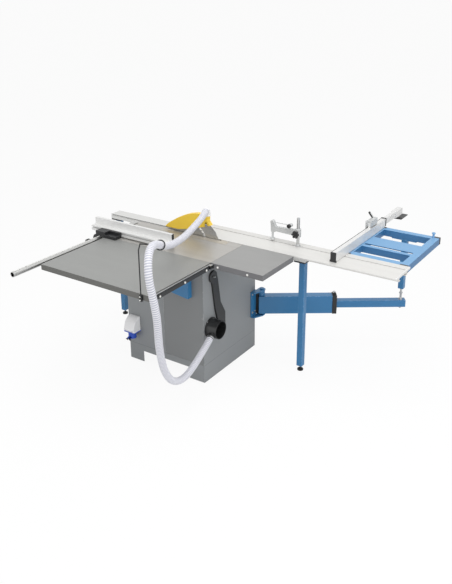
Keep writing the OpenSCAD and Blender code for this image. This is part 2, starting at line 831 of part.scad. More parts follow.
module arbor_shaft() {
    half = blade_t / 2;
    color("silver") place() saw_frame() {
        rod_y([arbor_x, pulley_y[0], arbor_z], shaft_r, -flange_y - pulley_y[0]);
        rod_y([arbor_x, pulley_y[0], arbor_z], arbor_pulley_r, pulley_y[1] - pulley_y[0]);
        rod_y([arbor_x, -flange_y, arbor_z], flange_r, flange_y - half);
        rod_y([arbor_x, -half, arbor_z], bore_d / 2 - fit, blade_t);
        rod_y([arbor_x, half, arbor_z], flange_r - 2, 6);
        translate([arbor_x, half + 6, arbor_z]) rotate([-90, 0, 0]) cylinder(r = 16, h = 7, $fn = 6);
    }
}

module saw_blade() {
    teeth = 40;
    rim = blade_d / 2;
    pitch = 360 / teeth;
    tooth = [[0, rim], [0.22, rim - 1.5], [0.36, rim - 8], [0.82, rim - 8]];
    edge = [for (k = [0:teeth - 1], q = tooth) q[1] * [cos((k + q[0]) * pitch), sin((k + q[0]) * pitch)]];
    color("lightgray") place() saw_frame() plate_y(-blade_t / 2, blade_t) translate([arbor_x, arbor_z])
        difference() {
            polygon(edge);
            circle(bore_d / 2);
        }
}

module blade_guard() {
    inner = concat([for (q = guard_top) q - [0, guard_wall]],
        [[guard_top[11].x, table_h], [guard_top[0].x, table_h]]);
    color("gold") place() difference() {
        union() {
            plate_y(blade_y - guard_w / 2, guard_w) polygon(concat(guard_top, guard_low));
            rod_z([elbow_base.x, elbow_base.y, spigot_z[0]], spigot_r, spigot_z[1] - spigot_z[0]);
        }
        plate_y(blade_y - guard_w / 2 + guard_side, guard_w - 2 * guard_side) polygon(inner);
        rod_z([elbow_base.x, elbow_base.y, spigot_z[0] - 20], spigot_r - guard_wall, 100);
    }
    color("gold") place()
        rod_y([guard_pivot.x, blade_y - guard_w / 2 - 4, guard_pivot.y], pivot_r, guard_w + 8);
}

module guard_elbow() {
    steps = 10;
    bends = [for (k = [0:steps]) k * elbow_bend / steps];
    foot = [elbow_base.x, elbow_base.y, spigot_z[1]];
    rings = function(r) concat([elbow_ring(foot, 0, r)], [for (a = bends) elbow_ring(elbow_at(a), a, r)]);
    color("white") place() tube(rings(hose_d / 2), rings(hose_bore_r));
}

function elbow_at(a) = elbow_base
    + elbow_r * [(1 - cos(a)) * cos(elbow_turn), (1 - cos(a)) * sin(elbow_turn), sin(a)];

function elbow_ring(c, a, r) = let (
    level = [-sin(elbow_turn), cos(elbow_turn), 0],
    slope = [cos(a) * cos(elbow_turn), cos(a) * sin(elbow_turn), -sin(a)])
    [for (k = [0:elbow_sides - 1]) let (q = 360 * k / elbow_sides) c + r * (cos(q) * slope + sin(q) * level)];

module lift_screw() {
    bottom = wheel_z + bevel[0];
    color("silver") place() saw_frame() translate([screw_x, rod_y0, 0]) {
        translate([0, 0, bottom]) cylinder(r1 = bevel[0] - gap, r2 = bevel[1] - gap, h = bevel[1] - bevel[0]);
        translate([0, 0, bottom + 1]) cylinder(r = screw_r, h = rod_z[1] + 6 - bottom);
    }
}

module handwheel(p, r, crank) {
    rim = 9;
    translate(p) rotate([0, 90, 0]) {
        rotate_extrude() translate([r - rim, 0]) circle(rim, $fn = 32);
        translate([0, 0, -8]) cylinder(r = 20, h = 24);
        for (a = [0, 120, 240]) rotate([0, 0, a])
            translate([0, -6, -4]) cube([r - rim, 12, 8]);
        translate([crank, 0, -44]) cylinder(r = 9, h = 44);
    }
}

module height_handwheel() {
    color("black") place() saw_frame() {
        handwheel([wheel_x, rod_y0, wheel_z], 75, 60);
        rod_x([wheel_x, rod_y0, wheel_z], wheel_shaft_r, screw_x - bevel[1] - wheel_x);
        translate([screw_x - bevel[1], rod_y0, wheel_z]) rotate([0, 90, 0])
            cylinder(r1 = bevel[1] - gap, r2 = bevel[0] - gap, h = bevel[1] - bevel[0]);
    }
}

module tilt_handwheel() {
    color("black") place() saw_frame() {
        handwheel([wheel_x, pinion_y, pinion_z], 60, 46);
        rod_x([wheel_x, pinion_y, pinion_z], pinion_r - 1, frame_x[0] - wheel_x + 1);
        rod_x([frame_x[0], pinion_y, pinion_z], pinion_r, end_t);
    }
}

// Rip fence
module rip_fence_head() {
    color("black") place() {
        difference() {
            union() {
                block(head_x, head_y, [table_h + 1, head_z1]);
                block([head_x[0], rail_x], head_y, [rail_z - 24, table_h + 2]);
            }
            rod_y([rail_x, head_y[0] - 1, rail_z], rail_d / 2 + gap, 100);
            block([-790, head_x[1] + 1], [head_y[0] - 1, head_y[1] - 18], [table_h + 22, head_z1 + 1]);
            rod_x([head_x[0] - 1, 25, rail_z - 12], 5 + fit, 14);
            rod_y([head_x[0] - 6, head_y[0] - 8, rail_z - 12], 4 + fit, 30);
        }
        difference() {
            block([head_x[0] - 14, head_x[0] + 1], [head_y[0], head_y[0] + 14], [rail_z - 24, rail_z]);
            rod_y([head_x[0] - 6, head_y[0] - 1, rail_z - 12], 4 + fit, 30);
        }
        // Key that holds the fence
        block([-840, -760], [head_y[1] - 1, rip_y + 5], [rip_z0 + 21 - key_w / 2, rip_z0 + 21 + key_w / 2]);
        block([-840, -760], [rip_y + 4.6, rip_y + 9.4],
            [rip_z0 + 21 - key_head / 2, rip_z0 + 21 + key_head / 2]);
    }
}

module rip_fence() {
    x1 = rip_x0 + rip_l;
    key_z = rip_z0 + 21;
    foot = [x1 - 20, x1 - 2];
    color("silver") place() {
        plate_x(rip_x0, rip_l) difference() {
            union() {
                translate([rip_y, rip_z0]) square([42, 35]);
                translate([rip_y + 42, rip_z0]) square([20, 80]);
            }
            translate([rip_y - 1, key_z - 4]) square([6, 8]);
            translate([rip_y + 4, key_z - 8]) square([6, 16]);
            translate([rip_y + 14, rip_z0 + 3]) square([25, 29]);
            translate([rip_y + 45, rip_z0 + 3]) square([14, 74]);
        }
        block(foot, [rip_y + 2, rip_y + 60], [table_h + gap, rip_z0]);
    }
}

module rip_clamp_knob() {
    color("black") place() {
        rod_x([head_x[0] - 30, 25, rail_z - 12], 5, 40);
        rod_x([head_x[0] - 38, 25, rail_z - 12], 20, 22);
    }
}

module fine_adjust_knob() {
    color("black") place() {
        rod_y([head_x[0] - 6, -70, rail_z - 12], 4, 76);
        rod_y([head_x[0] - 6, -84, rail_z - 12], 20, 22);
    }
}

// Sliding table
module roller_cage() {
    r = roller_space / 2 - gap;
    z = beam_z1 + roller_space / 2;
    color("silver") place() {
        for (y = [beam_y0 + 8, beam_y1 - 26]) block(cage_x, [y, y + 18], [z - 1.5, z + 1.5]);
        for (x = [cage_x[0] + 10, cage_x[1] - 28])
            block([x, x + 18], [beam_y0 + 8, beam_y1 - 8], [z - 1.5, z + 1.5]);
        for (k = [0:7], y = [beam_y0 + 9, beam_y1 - 25])
            rod_y([cage_x[0] + 40 + k * (cage_x[1] - cage_x[0] - 80) / 7, y, z], r, 16);
    }
}

module carriage() {
    deck = [[carriage_y0, table_h], [carriage_y0, table_h - 7], [carriage_y0 + 16, deck_z],
        [carriage_y1, deck_z], [carriage_y1, table_h]];
    color("whitesmoke") place() {
        plate_x(carriage_x0, carriage_l) difference() {
            union() {
                polygon(deck);
                for (side = [-1, 1]) translate([beam_y, 0]) {
                    translate([side > 0 ? skirt_in : -skirt_in - skirt_t, skirt_z])
                        square([skirt_t, deck_z - skirt_z + 1]);
                    translate([side > 0 ? beam_w / 2 - groove_depth + 1.5 : -skirt_in - 1, skirt_z])
                        square([skirt_in - beam_w / 2 + groove_depth - 0.5, tongue_h]);
                }
            }
            translate([slot_cy - slot_w / 2, slot_z[0]]) square([slot_w, 20]);
            translate([slot_cy - slot_under / 2, slot_z[0]]) square([slot_under, slot_z[1] - slot_z[0]]);
        }
    }
}

module outrigger_frame() {
    left = [out_x0, out_x0 + out_tube];
    right = [out_x1 - out_tube, out_x1];
    between = [left[1], right[0]];
    color("steelblue") place() {
        for (x = [left, right]) difference() {
            block(x, [out_y0 + cap_t, out_y1 - cap_t], out_z);
            block([x[0] + out_wall, x[1] - out_wall], [out_y0, out_y1],
                [out_z[0] + out_wall, out_z[1] - out_wall]);
            rod_z([cross_pivot.x, cross_pivot.y, out_z[1] - 20], 6 + fit, 30);
        }
        block(between, [out_y0, out_y0 + out_tube], out_z);
        block(between, brace_y, out_z);
        block(between, shelf_y, [out_z[1] - shelf_t, out_z[1]]);
        block(between, [out_y1 - out_tube, out_y1 - cap_t], out_z);
        rod_z([out_x1 - 40, out_y1 - 27, out_z[1]], 7, 34);
        rod_z([out_x1 - 40, out_y1 - 27, out_z[1] + 26], 12, 8);
    }
}

module outrigger_caps() {
    color("black") place() for (x = [out_x0, out_x1 - out_tube], y = [out_y0, out_y1 - cap_t])
        block([x, x + out_tube], [y, y + cap_t], out_z);
}

module outrigger_post() {
    half = post_s / 2;
    top = out_z[0];
    color("steelblue") place() {
        block([pin_at.x - 87, pin_at.x + 87], [out_y1 - out_tube, out_y1], [top - 7, top]);
        difference() {
            block([pin_at.x - half, pin_at.x + half], [pin_at.y - half, pin_at.y + half], [post_z0, top - 6]);
            block([pin_at.x - half + 3, pin_at.x + half - 3], [pin_at.y - half + 3, pin_at.y + half - 3],
                [post_z0 + 6, top - 8]);
        }
    }
}

module clamp_post() {
    color("silver") place() {
        block([post_x - 20, post_x + 20], [slot_cy - 7.6, slot_cy + 7.6], [slot_z[0] + gap, slot_z[1] - gap]);
        block([post_x - 20, post_x + 20], [slot_cy - 3.6, slot_cy + 3.6], [slot_z[0] + 1, table_h + 2]);
        rod_z([post_x, slot_cy, table_h + gap], 16, 10);
        rod_z([post_x, slot_cy, table_h + 1], post_r, 190);
    }
}

module hold_down_arm() {
    y = slot_cy;
    front = post_x - 187;
    side = [[post_x - 10, 68], [post_x - 10, 112], [front + 30, 104], [front + 10, clamp_z],
        [front - 10, clamp_z], [front - 10, 64], [front + 16, 64], [front + 30, 72]];
    color("silver") place() translate([0, 0, table_h]) difference() {
        union() {
            rod_z([post_x, y, 64], 19, 54);
            plate_y(y - 9, 18) polygon(side);
            rod_y([front, y - 12, clamp_z], 13, 24);
            rod_x([front, y, clamp_z], 3, 136);
            rod_y([post_x - 56, y - 13, clamp_z], 12, 26);
            rod_z([front, y, 22], 7, 50);
            rod_z([front, y, 14], 17, 9);
        }
        rod_z([post_x, y, 50], post_r + fit, 100);
        rod_y([post_x, y - 40, knob_z], 5 + fit, 32);
    }
}

module hold_down_knob() {
    color("black") place() translate([post_x, slot_cy, table_h + knob_z]) {
        rod_y([0, -40, 0], 5, 28);
        rod_y([0, -46, 0], 12, 24);
        for (a = [0:60:300]) rod_y([17 * cos(a), -46, 17 * sin(a)], 8, 16);
    }
}

// Swing arm, drawn along +X from its pivot and turned towards the outrigger
module swing() {
    translate([pivot.x, pivot.y, 0]) rotate([0, 0, arm_a]) children();
}

module arm_outer() {
    y = [-arm_w / 2, arm_w / 2];
    z = [arm_z - arm_h / 2, arm_z + arm_h / 2];
    color("steelblue") place() swing() difference() {
        union() {
            difference() {
                block([arm_x0, arm_x1], y, z);
                block([arm_x0 + arm_t, arm_x1 + 1], [y[0] + arm_t, y[1] - arm_t],
                    [z[0] + arm_t, z[1] - arm_t]);
            }
            rod_z([0, 0, lug_z[0] + 8 + gap], lug_r - 4, lug_z[1] - lug_z[0] - 16 - 2 * gap);
        }
        rod_z([0, 0, lug_z[0]], hinge_pin_r + fit, lug_z[1] - lug_z[0]);
    }
}

module arm_collar() {
    half = inner_s / 2 + gap;
    top = arm_z + arm_h / 2 + 3;
    color("black") place() swing() {
        difference() {
            block([arm_x1, arm_x1 + collar_l], [-arm_w / 2 - 2, arm_w / 2 + 2], [arm_z - arm_h / 2 - 3, top]);
            block([arm_x1 - 1, arm_x1 + collar_l + 1], [-half, half], [arm_z - half, arm_z + half]);
        }
        block([arm_x1 + 5, arm_x1 + 25], [-14, -10], [top - 1, top + 14]);
        block([arm_x1 + 5, arm_x1 + 25], [10, 14], [top - 1, top + 14]);
        rod_y([arm_x1 + 15, -12, top + 11], 9, 24);
        rod_x([arm_x1 + collar_l, -arm_w / 2 + 2, arm_z - 24], 4, 2);
    }
}

module arm_inner() {
    half = inner_s / 2;
    slide_y = arm_w / 2 - arm_t - gap;
    slide_z = arm_h / 2 - arm_t - gap;
    color("steelblue") place() swing() {
        difference() {
            block([inner_x0, arm_reach + 32], [-half, half], [arm_z - half, arm_z + half]);
            block([inner_x0 - 1, arm_reach + 29], [-half + 3, half - 3],
                [arm_z - half + 3, arm_z + half - 3]);
        }
        difference() {
            block([inner_x0, inner_x0 + 28], [-slide_y, slide_y], [arm_z - slide_z, arm_z + slide_z]);
            block([inner_x0 - 1, inner_x0 + 30], [-half + 3, half - 3], [arm_z - half + 3, arm_z + half - 3]);
        }
        rod_z([arm_reach, 0, 290], pin_r, post_z0 - 0.5 - 290);
        for (z = [arm_z - half - 10, arm_z + half, 400])
            translate([arm_reach, 0, z]) cylinder(r = 13, h = 10, $fn = 6);
    }
}

// Crosscut fence
module crosscut_fence() {
    x1 = cross_x + cross_w;
    color("silver") place() {
        difference() {
            block([cross_x, x1], [cross_y0, cross_y1], [cross_z0, cross_z1]);
            block([cross_x + cross_t, x1 - cross_t], [cross_y0 - 1, cross_y1 + 1],
                [cavity_z, cross_z1 - cross_t]);
            block([cross_x + cross_t, x1 - cross_t], [cross_y0 - 1, cross_y1 + 1],
                [cross_z0 + cross_t, cavity_z - cross_t]);
        }
        rod_z([cross_pivot.x, cross_pivot.y, out_z[1] - 12], 6, cavity_z - out_z[1] + 11);
        // Ears and pin of the flip stop
        for (y = [stop_y[0] - 6, stop_y[1] + 1])
            block([stop_axis.x - 9, stop_axis.x + 9], [y, y + 5], [cross_z1, stop_axis.y + 9]);
        rod_y([stop_axis.x, stop_y[0] - 6, stop_axis.y], stop_pin_r, stop_y[1] - stop_y[0] + 12);
    }
}

module fence_shoe() {
    x = [cross_x - 2, cross_x + cross_w + 2];
    color("black") place() {
        block(x, [cross_y0 - 6, cross_y0], [cross_z0, cross_z1 + 2]);
        block([x[0] - 4, x[1] + 4], [cross_y0 - 6, cross_y0], [cross_z0 - 0.5, cross_z0 + 12]);
        difference() {
            block(x, [cross_y1, cross_y1 + 12], [cross_z0 + 6, cross_z1 + 3]);
            block([cross_x + cross_t, cross_x + cross_w - cross_t], [cross_y1 - 1, cross_y1 + 13],
                [cavity_z, cross_z1 - cross_t]);
        }
    }
}

module fence_extension() {
    x = [cross_x + cross_t + gap, cross_x + cross_w - cross_t - gap];
    z = [cavity_z + gap, cross_z1 - cross_t - gap];
    y1 = cross_y1 + end_reach;
    color("silver") place() {
        difference() {
            block(x, [cross_y1 - 250, y1 - 60], z);
            block([x[0] + 3, x[1] - 3], [cross_y1 - 251, y1 - 180], [z[0] + 3, z[1] - 3]);
        }
        block([x[0] - 6, x[1] + 6], [y1 - 175, y1 - 60], [z[0] - 2, cross_z1 - 1]);
        block([x[0] + 6, x[1] - 6], [y1 - 100, y1 - 70], [table_h - 4, z[0]]);
        block([x[0] - 18, x[1] + 26], [y1 - 125, y1], [table_h - 10, table_h - 4]);
    }
}

module flip_stop() {
    body_x = [cross_x - 4, cross_x + cross_w - 3];
    color("silver") place() difference() {
        union() {
            block(body_x, stop_y, [cross_z1 + 8, stop_axis.y + 26]);
            block([cross_x - 14, cross_x - 3], [stop_y[0], stop_y[0] + 30], [cross_z0 + 6, stop_axis.y + 20]);
            translate([stop_axis.x, stop_y[1] - 20, stop_axis.y + 20]) rotate([0, -40, 0])
                cylinder(r = 4, h = 46);
        }
        rod_y([stop_axis.x, stop_y[0] - 1, stop_axis.y], stop_pin_r + fit, 200);
    }
}

// Hose: a uniform cubic B-spline through the route, ribs spaced evenly along it
function unit(v) = v / norm(v);

function spline(k, t) = let (p = hose_route)
    (pow(1 - t, 3) * p[k] + (3 * pow(t, 3) - 6 * t * t + 4) * p[k + 1]
    + (-3 * pow(t, 3) + 3 * t * t + 3 * t + 1) * p[k + 2] + pow(t, 3) * p[k + 3]) / 6;

function spline_way(k, t) = let (p = hose_route)
    (-pow(1 - t, 2) * p[k] + (3 * t * t - 4 * t) * p[k + 1]
    + (-3 * t * t + 2 * t + 1) * p[k + 2] + t * t * p[k + 3]) / 2;

function span_of(u) = min(floor(u), hose_spans - 1);

function along(u) = spline(span_of(u), u - span_of(u));

function way(u) = unit(spline_way(span_of(u), u - span_of(u)));

hose_steps = 8 * hose_spans;
hose_table = [for (i = 0, s = 0; i <= hose_steps;
    i = i + 1, s = s + norm(along(i / 8) - along((i - 1) / 8))) [s, i / 8]];
hose_length = hose_table[hose_steps][0];

function hose_ring(u, r) = let (w = way(u), a = unit(cross(w, [1, 0, 0])), b = cross(w, a), c = along(u))
    [for (k = [0:hose_sides - 1]) let (q = 360 * (k + 0.5) / hose_sides) c + r * (cos(q) * a + sin(q) * b)];

// A tube of triangles through two lists of rings, the outer and the inner wall
module tube(outer, inner) {
    m = len(outer[0]);
    last = (len(outer) - 1) * m;
    first = len(outer) * m;
    last_in = first + (len(inner) - 1) * m;
    turned = function(tri, flip) flip ? tri : [tri[2], tri[1], tri[0]];
    wall = function(rows, base, flip) [for (i = [0:rows - 2], k = [0:m - 1], half = [0, 1])
        let (a = base + i * m + k, b = base + i * m + (k + 1) % m)
        turned(half == 0 ? [a, b, b + m] : [a, b + m, a + m], flip)];
    ends = [for (e = [[0, first, true], [last, last_in, false]], k = [0:m - 1], half = [0, 1])
        let (a = e[0] + k, b = e[0] + (k + 1) % m, c = e[1] + (k + 1) % m, d = e[1] + k)
        turned(half == 0 ? [a, b, c] : [a, c, d], e[2])];
    polyhedron(
        points = concat([for (r = outer, q = r) q], [for (r = inner, q = r) q]),
        faces = concat(wall(len(outer), 0, false), wall(len(inner), first, true), ends));
}

module hose() {
    outer_n = 2 * hose_ribs;
    outer = [for (i = [0:outer_n]) hose_ring(lookup(hose_length * i / outer_n, hose_table),
        hose_d / 2 - (i % 2 == 0 ? rib_depth : 0))];
    inner = [for (i = [0:bore_rings])
        hose_ring(lookup(hose_length * i / bore_rings, hose_table), hose_bore_r)];
    color("lavender") place() tube(outer, inner);
}

cabinet();
side_panel();
levelling_feet();
main_table();
table_insert();
extension_table();
extension_brackets();
outfeed_table();
edge_rail();
table_bolts();
fence_rail();
rail_brackets();
hose_holder();
dust_port();
dust_duct();
inlet_box();
inlet_socket();
inlet_lid();
push_stick();
guide_beam();
support_legs();
arm_bracket();
trunnions();
switch_box();
start_button();
stop_button();
service_door();
tilt_cradle();
arbor_slide();
motor();
drive_belt();
riving_knife();
arbor_shaft();
saw_blade();
motor_pulley();
blade_guard();
guard_elbow();
lift_screw();
height_handwheel();
tilt_handwheel();
rip_fence_head();
rip_fence();
rip_clamp_knob();
fine_adjust_knob();
roller_cage();
carriage();
outrigger_frame();
outrigger_caps();
outrigger_post();
clamp_post();
hold_down_arm();
hold_down_knob();
arm_outer();
arm_collar();
arm_inner();
crosscut_fence();
fence_shoe();
fence_extension();
flip_stop();
hose();
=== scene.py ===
import math

import bpy
from mathutils import Matrix, Vector


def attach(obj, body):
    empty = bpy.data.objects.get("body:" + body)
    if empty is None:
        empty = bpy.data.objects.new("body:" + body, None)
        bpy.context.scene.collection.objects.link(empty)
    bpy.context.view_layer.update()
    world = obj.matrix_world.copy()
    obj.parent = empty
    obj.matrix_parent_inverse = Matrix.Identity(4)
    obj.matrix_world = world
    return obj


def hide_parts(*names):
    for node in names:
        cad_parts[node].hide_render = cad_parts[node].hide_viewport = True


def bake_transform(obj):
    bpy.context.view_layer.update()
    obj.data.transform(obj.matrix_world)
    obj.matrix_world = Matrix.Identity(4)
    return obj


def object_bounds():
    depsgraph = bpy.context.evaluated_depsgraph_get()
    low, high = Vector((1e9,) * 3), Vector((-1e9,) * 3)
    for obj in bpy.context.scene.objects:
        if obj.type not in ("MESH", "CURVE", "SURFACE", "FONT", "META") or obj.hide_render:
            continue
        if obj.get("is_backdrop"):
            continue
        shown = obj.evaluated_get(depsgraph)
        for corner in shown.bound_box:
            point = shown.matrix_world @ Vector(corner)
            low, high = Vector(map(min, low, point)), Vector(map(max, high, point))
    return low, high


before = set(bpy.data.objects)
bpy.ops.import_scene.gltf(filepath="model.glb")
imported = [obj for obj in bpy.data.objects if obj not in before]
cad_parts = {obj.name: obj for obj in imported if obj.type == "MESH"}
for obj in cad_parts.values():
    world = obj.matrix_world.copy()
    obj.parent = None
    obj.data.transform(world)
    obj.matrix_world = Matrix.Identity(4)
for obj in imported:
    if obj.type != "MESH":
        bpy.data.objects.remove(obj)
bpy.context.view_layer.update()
scene = bpy.context.scene
scene.view_settings.view_transform = "Standard"

# The camera stands outside the outfeed corner of the rip side, 2.5 m above the floor,
# and looks down on the tables along the way that the photograph was taken.
yaw, pitch, roll = math.radians(34.26), math.radians(20.4), math.radians(-0.5)
look_back = Vector((math.sin(yaw) * math.cos(pitch), -math.cos(yaw) * math.cos(pitch), math.sin(pitch)))
level_right = Vector((math.cos(yaw), math.sin(yaw), 0))
level_up = look_back.cross(level_right)
cam_right = level_right * math.cos(roll) + level_up * math.sin(roll)
cam_up = level_up * math.cos(roll) - level_right * math.sin(roll)
bpy.ops.object.camera_add()
camera = bpy.context.object
camera.name = "photo_camera"
camera.matrix_world = Matrix.Translation((2.47981, -3.73216, 2.52644)) @ Matrix(
    (cam_right, cam_up, look_back)).transposed().to_4x4()
camera.data.sensor_width = 36
camera.data.lens = 45.193
camera.data.shift_y = -0.08906
camera.data.clip_end = 1000
scene.camera = camera

# Extraction hose: clear PVC over a hard white helix, 44 mm across and 2.5 m long. It slips over
# the guard's elbow, hangs in the holder's ring and ends in the branch of the dust port.
hose_start, start_step = Vector((-0.18, -0.0575, 1.04)), Vector((0.014, -0.042, -0.008))
hose_end, end_step = Vector((0.092, -0.4155, 0.347)), Vector((-0.006, 0.041, 0.017))
hose_mid = [(-0.135, -0.2175, 1.01), (-0.115, -0.3025, 1.0), (-0.09, -0.3875, 0.995),
            (-0.07, -0.4775, 0.995), (-0.045, -0.5625, 1.005), (-0.025, -0.6475, 1.02),
            (0.0, -0.7275, 1.05), (0.045, -0.7925, 1.08), (0.1, -0.8625, 1.12),
            (0.125, -0.9475, 1.16), (0.155, -1.0275, 1.16), (0.19, -1.0825, 1.115),
            (0.21, -1.1075, 1.045), (0.22, -1.1025, 0.97), (0.23, -1.0925, 0.885),
            (0.23, -1.0775, 0.8), (0.22, -1.0625, 0.715), (0.2, -1.0375, 0.635),
            (0.18, -1.0075, 0.555), (0.16, -0.9725, 0.48), (0.145, -0.9375, 0.395),
            (0.145, -0.8875, 0.305), (0.14, -0.8125, 0.255), (0.135, -0.7275, 0.245),
            (0.125, -0.6475, 0.262), (0.115, -0.5725, 0.288)]
route = ([hose_start + k * start_step for k in range(-1, 3)] + [Vector(p) for p in hose_mid]
         + [hose_end + k * end_step for k in range(-2, 2)])


def on_route(u):
    """The hose's own line: a smooth curve drawn through its route, and the way it runs there."""
    k = min(int(u), len(route) - 4)
    t, p = u - k, route[k:k + 4]
    at = ((1 - t) ** 3 * p[0] + (3 * t ** 3 - 6 * t * t + 4) * p[1]
          + (-3 * t ** 3 + 3 * t * t + 3 * t + 1) * p[2] + t ** 3 * p[3]) / 6
    way = (-(1 - t) ** 2 * p[0] + (3 * t * t - 4 * t) * p[1]
           + (-3 * t * t + 2 * t + 1) * p[2] + t * t * p[3]) / 2
    return at, way.normalized()


steps_per_span = 12
walk, hose_length = [], 0.0
for i in range(steps_per_span * (len(route) - 3) + 1):
    here = on_route(i / steps_per_span)[0]
    hose_length += (here - walk[-1][1]).length if walk else 0.0
    walk.append((hose_length, here, i / steps_per_span))


def along_hose(s):
    """The point and way at a length s from the elbow."""
    n = next((i for i in range(1, len(walk)) if walk[i][0] >= s), len(walk) - 1)
    a, b = walk[n - 1], walk[n]
    return on_route(a[2] + (b[2] - a[2]) * (s - a[0]) / (b[0] - a[0]))


def ring_round(s, radius, count):
    """Points of a ring square to the hose, where radius may change round it."""
    at, way = along_hose(s)
    side = way.cross(Vector((1, 0, 0))).normalized()
    over = way.cross(side)
    angles = [2 * math.pi * k / count for k in range(count)]
    return [at + radius(q) * (math.cos(q) * side + math.sin(q) * over) for q in angles]


wall_r, helix_h, bore_r = 0.0204, 0.0016, 0.018
turns, rows_per_turn, around, bore_rows = 195, 6, 24, 120
rows = turns * rows_per_turn


def ridge(i, q):
    """How far the helix stands up at row i and angle q, from 0 to 1."""
    return (0.5 + 0.5 * math.cos(2 * math.pi * i / rows_per_turn - q)) ** 1.6


hose_points, rib = [], []
for i in range(rows + 1):
    hose_points += ring_round(hose_length * i / rows, lambda q: wall_r + helix_h * ridge(i, q), around)
    rib += [ridge(i, 2 * math.pi * k / around) for k in range(around)]
for i in range(bore_rows + 1):
    hose_points += ring_round(hose_length * i / bore_rows, lambda q: bore_r, around)
    rib += [0.0] * around
bore_at = (rows + 1) * around
hose_faces = []
for i in range(rows):
    for k in range(around):
        a, b = i * around + k, i * around + (k + 1) % around
        hose_faces.append((a, b, b + around, a + around))
for i in range(bore_rows):
    for k in range(around):
        a, b = bore_at + i * around + k, bore_at + i * around + (k + 1) % around
        hose_faces.append((a, a + around, b + around, b))
for outer, inner in ((0, bore_at), (rows * around, bore_at + bore_rows * around)):
    for k in range(around):
        quad = (outer + k, outer + (k + 1) % around, inner + (k + 1) % around, inner + k)
        hose_faces.append(quad if outer else quad[::-1])
hose_mesh = bpy.data.meshes.new("extraction_hose")
hose_mesh.from_pydata([tuple(p) for p in hose_points], [], hose_faces)
hose_mesh.attributes.new("rib", "FLOAT", "POINT").data.foreach_set("value", rib)
hose_mesh.shade_smooth()
hose = bpy.data.objects.new("extraction_hose", hose_mesh)
scene.collection.objects.link(hose)


class Wire:
    """A socket of a shader. Sums and products of wires add the Math nodes that they need."""

    def __init__(self, tree, socket=None):
        self.tree, self.socket = tree, socket

    def node(self, kind, settings=None, values=None, out=0):
        """Adds one node, with its settings first and then the values or links of its sockets."""
        made = self.tree.nodes.new(kind)
        for key, value in (settings or {}).items():
            if key == "stops":
                ramp = made.color_ramp
                ramp.elements[0].position, ramp.elements[0].color = value[0]
                ramp.elements[1].position, ramp.elements[1].color = value[-1]
                for position, colour in value[1:-1]:
                    ramp.elements.new(position).color = colour
            else:
                setattr(made, key, value)
        for key, value in (values or {}).items():
            if isinstance(value, Wire):
                self.tree.links.new(value.socket, made.inputs[key])
            else:
                made.inputs[key].default_value = value
        return Wire(self.tree, made.outputs[out])

    def sum_of(self, operation, a, b):
        return self.node("ShaderNodeMath", {"operation": operation}, {0: a, 1: b})

    def __add__(self, other):
        return self.sum_of("ADD", self, other)

    def __sub__(self, other):
        return self.sum_of("SUBTRACT", self, other)

    def __rsub__(self, other):
        return self.sum_of("SUBTRACT", other, self)

    def __mul__(self, other):
        return self.sum_of("MULTIPLY", self, other)

    __radd__, __rmul__ = __add__, __mul__


def ink(code):
    """A colour as it is seen on the piece, as the numbers that a shader works in."""
    parts = [int(code[i:i + 2], 16) / 255 for i in (1, 3, 5)]
    return tuple(((c + 0.055) / 1.055) ** 2.4 if c > 0.04 else c / 12.92 for c in parts) + (1.0,)


def new_finish(name, roughness, metallic=0.0, **fixed):
    """A material and its shader, with the numbers that are the same all over set on the shader."""
    material = bpy.data.materials.new(name)
    material.use_nodes = True
    shader = material.node_tree.nodes["Principled BSDF"]
    shader.inputs["Roughness"].default_value = roughness
    shader.inputs["Metallic"].default_value = metallic
    for key, value in fixed.items():
        shader.inputs[key.replace("_", " ")].default_value = value
    return material, shader, Wire(material.node_tree)


def join_up(wire, shader, **inputs):
    """Links what changes over the surface to the shader."""
    for key, value in inputs.items():
        wire.tree.links.new(value.socket, shader.inputs[key.replace("_", " ")])


def speckle(wire, scale, detail=3.0, stretch=(1, 1, 1)):
    """Cloudy noise on the piece's own coordinates, stretched along an axis for drawn metal."""
    here = wire.node("ShaderNodeTexCoord", out="Object")
    if stretch != (1, 1, 1):
        here = wire.node("ShaderNodeMapping", None, {"Vector": here, "Scale": stretch})
    return wire.node("ShaderNodeTexNoise", None, {"Vector": here, "Scale": scale, "Detail": detail})


def blend(wire, share, a, b):
    """A colour between a and b."""
    return wire.node("ShaderNodeMix", {"data_type": "RGBA"}, {0: share, 6: a, 7: b}, out=2)


def ripple(wire, height, strength, distance):
    """Small relief of a surface."""
    return wire.node("ShaderNodeBump", None,
                     {"Height": height, "Strength": strength, "Distance": distance})


hose_skin, shader, wire = new_finish("clear_ribbed_pvc", 0.32, Coat_Weight=0.25, Coat_Roughness=0.2)
helix = wire.node("ShaderNodeAttribute", {"attribute_name": "rib"}, out="Fac")
tint = blend(wire, speckle(wire, 9.0), ink("#a6a8b8"), ink("#b9bac6"))
join_up(wire, shader, Base_Color=blend(wire, helix, tint, ink("#ececee")), Roughness=0.42 - helix * 0.16,
        Normal=ripple(wire, speckle(wire, 260.0), 0.12, 0.001))
hose_mesh.materials.append(hose_skin)
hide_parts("hose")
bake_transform(hose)

# The studio: a white sweep of floor, one large soft lamp overhead, one at the outfeed side and a
# weak one at the rip side, under an even white sky that only lifts the shadows.
bpy.ops.mesh.primitive_plane_add(size=400)
floor = bpy.context.object
floor.name = "studio_floor"
floor_white, shader, wire = new_finish("studio_white", 0.9)
shader.inputs["Base Color"].default_value = (0.9, 0.9, 0.9, 1)
shader.inputs["Specular IOR Level"].default_value = 0.1
path = wire.node("ShaderNodeLightPath", out="Is Camera Ray")
mirrored = wire.node("ShaderNodeLightPath", out="Is Glossy Ray")
lit = wire.node("ShaderNodeEmission", None, {"Color": (1, 1, 1, 1), "Strength": 1.0})
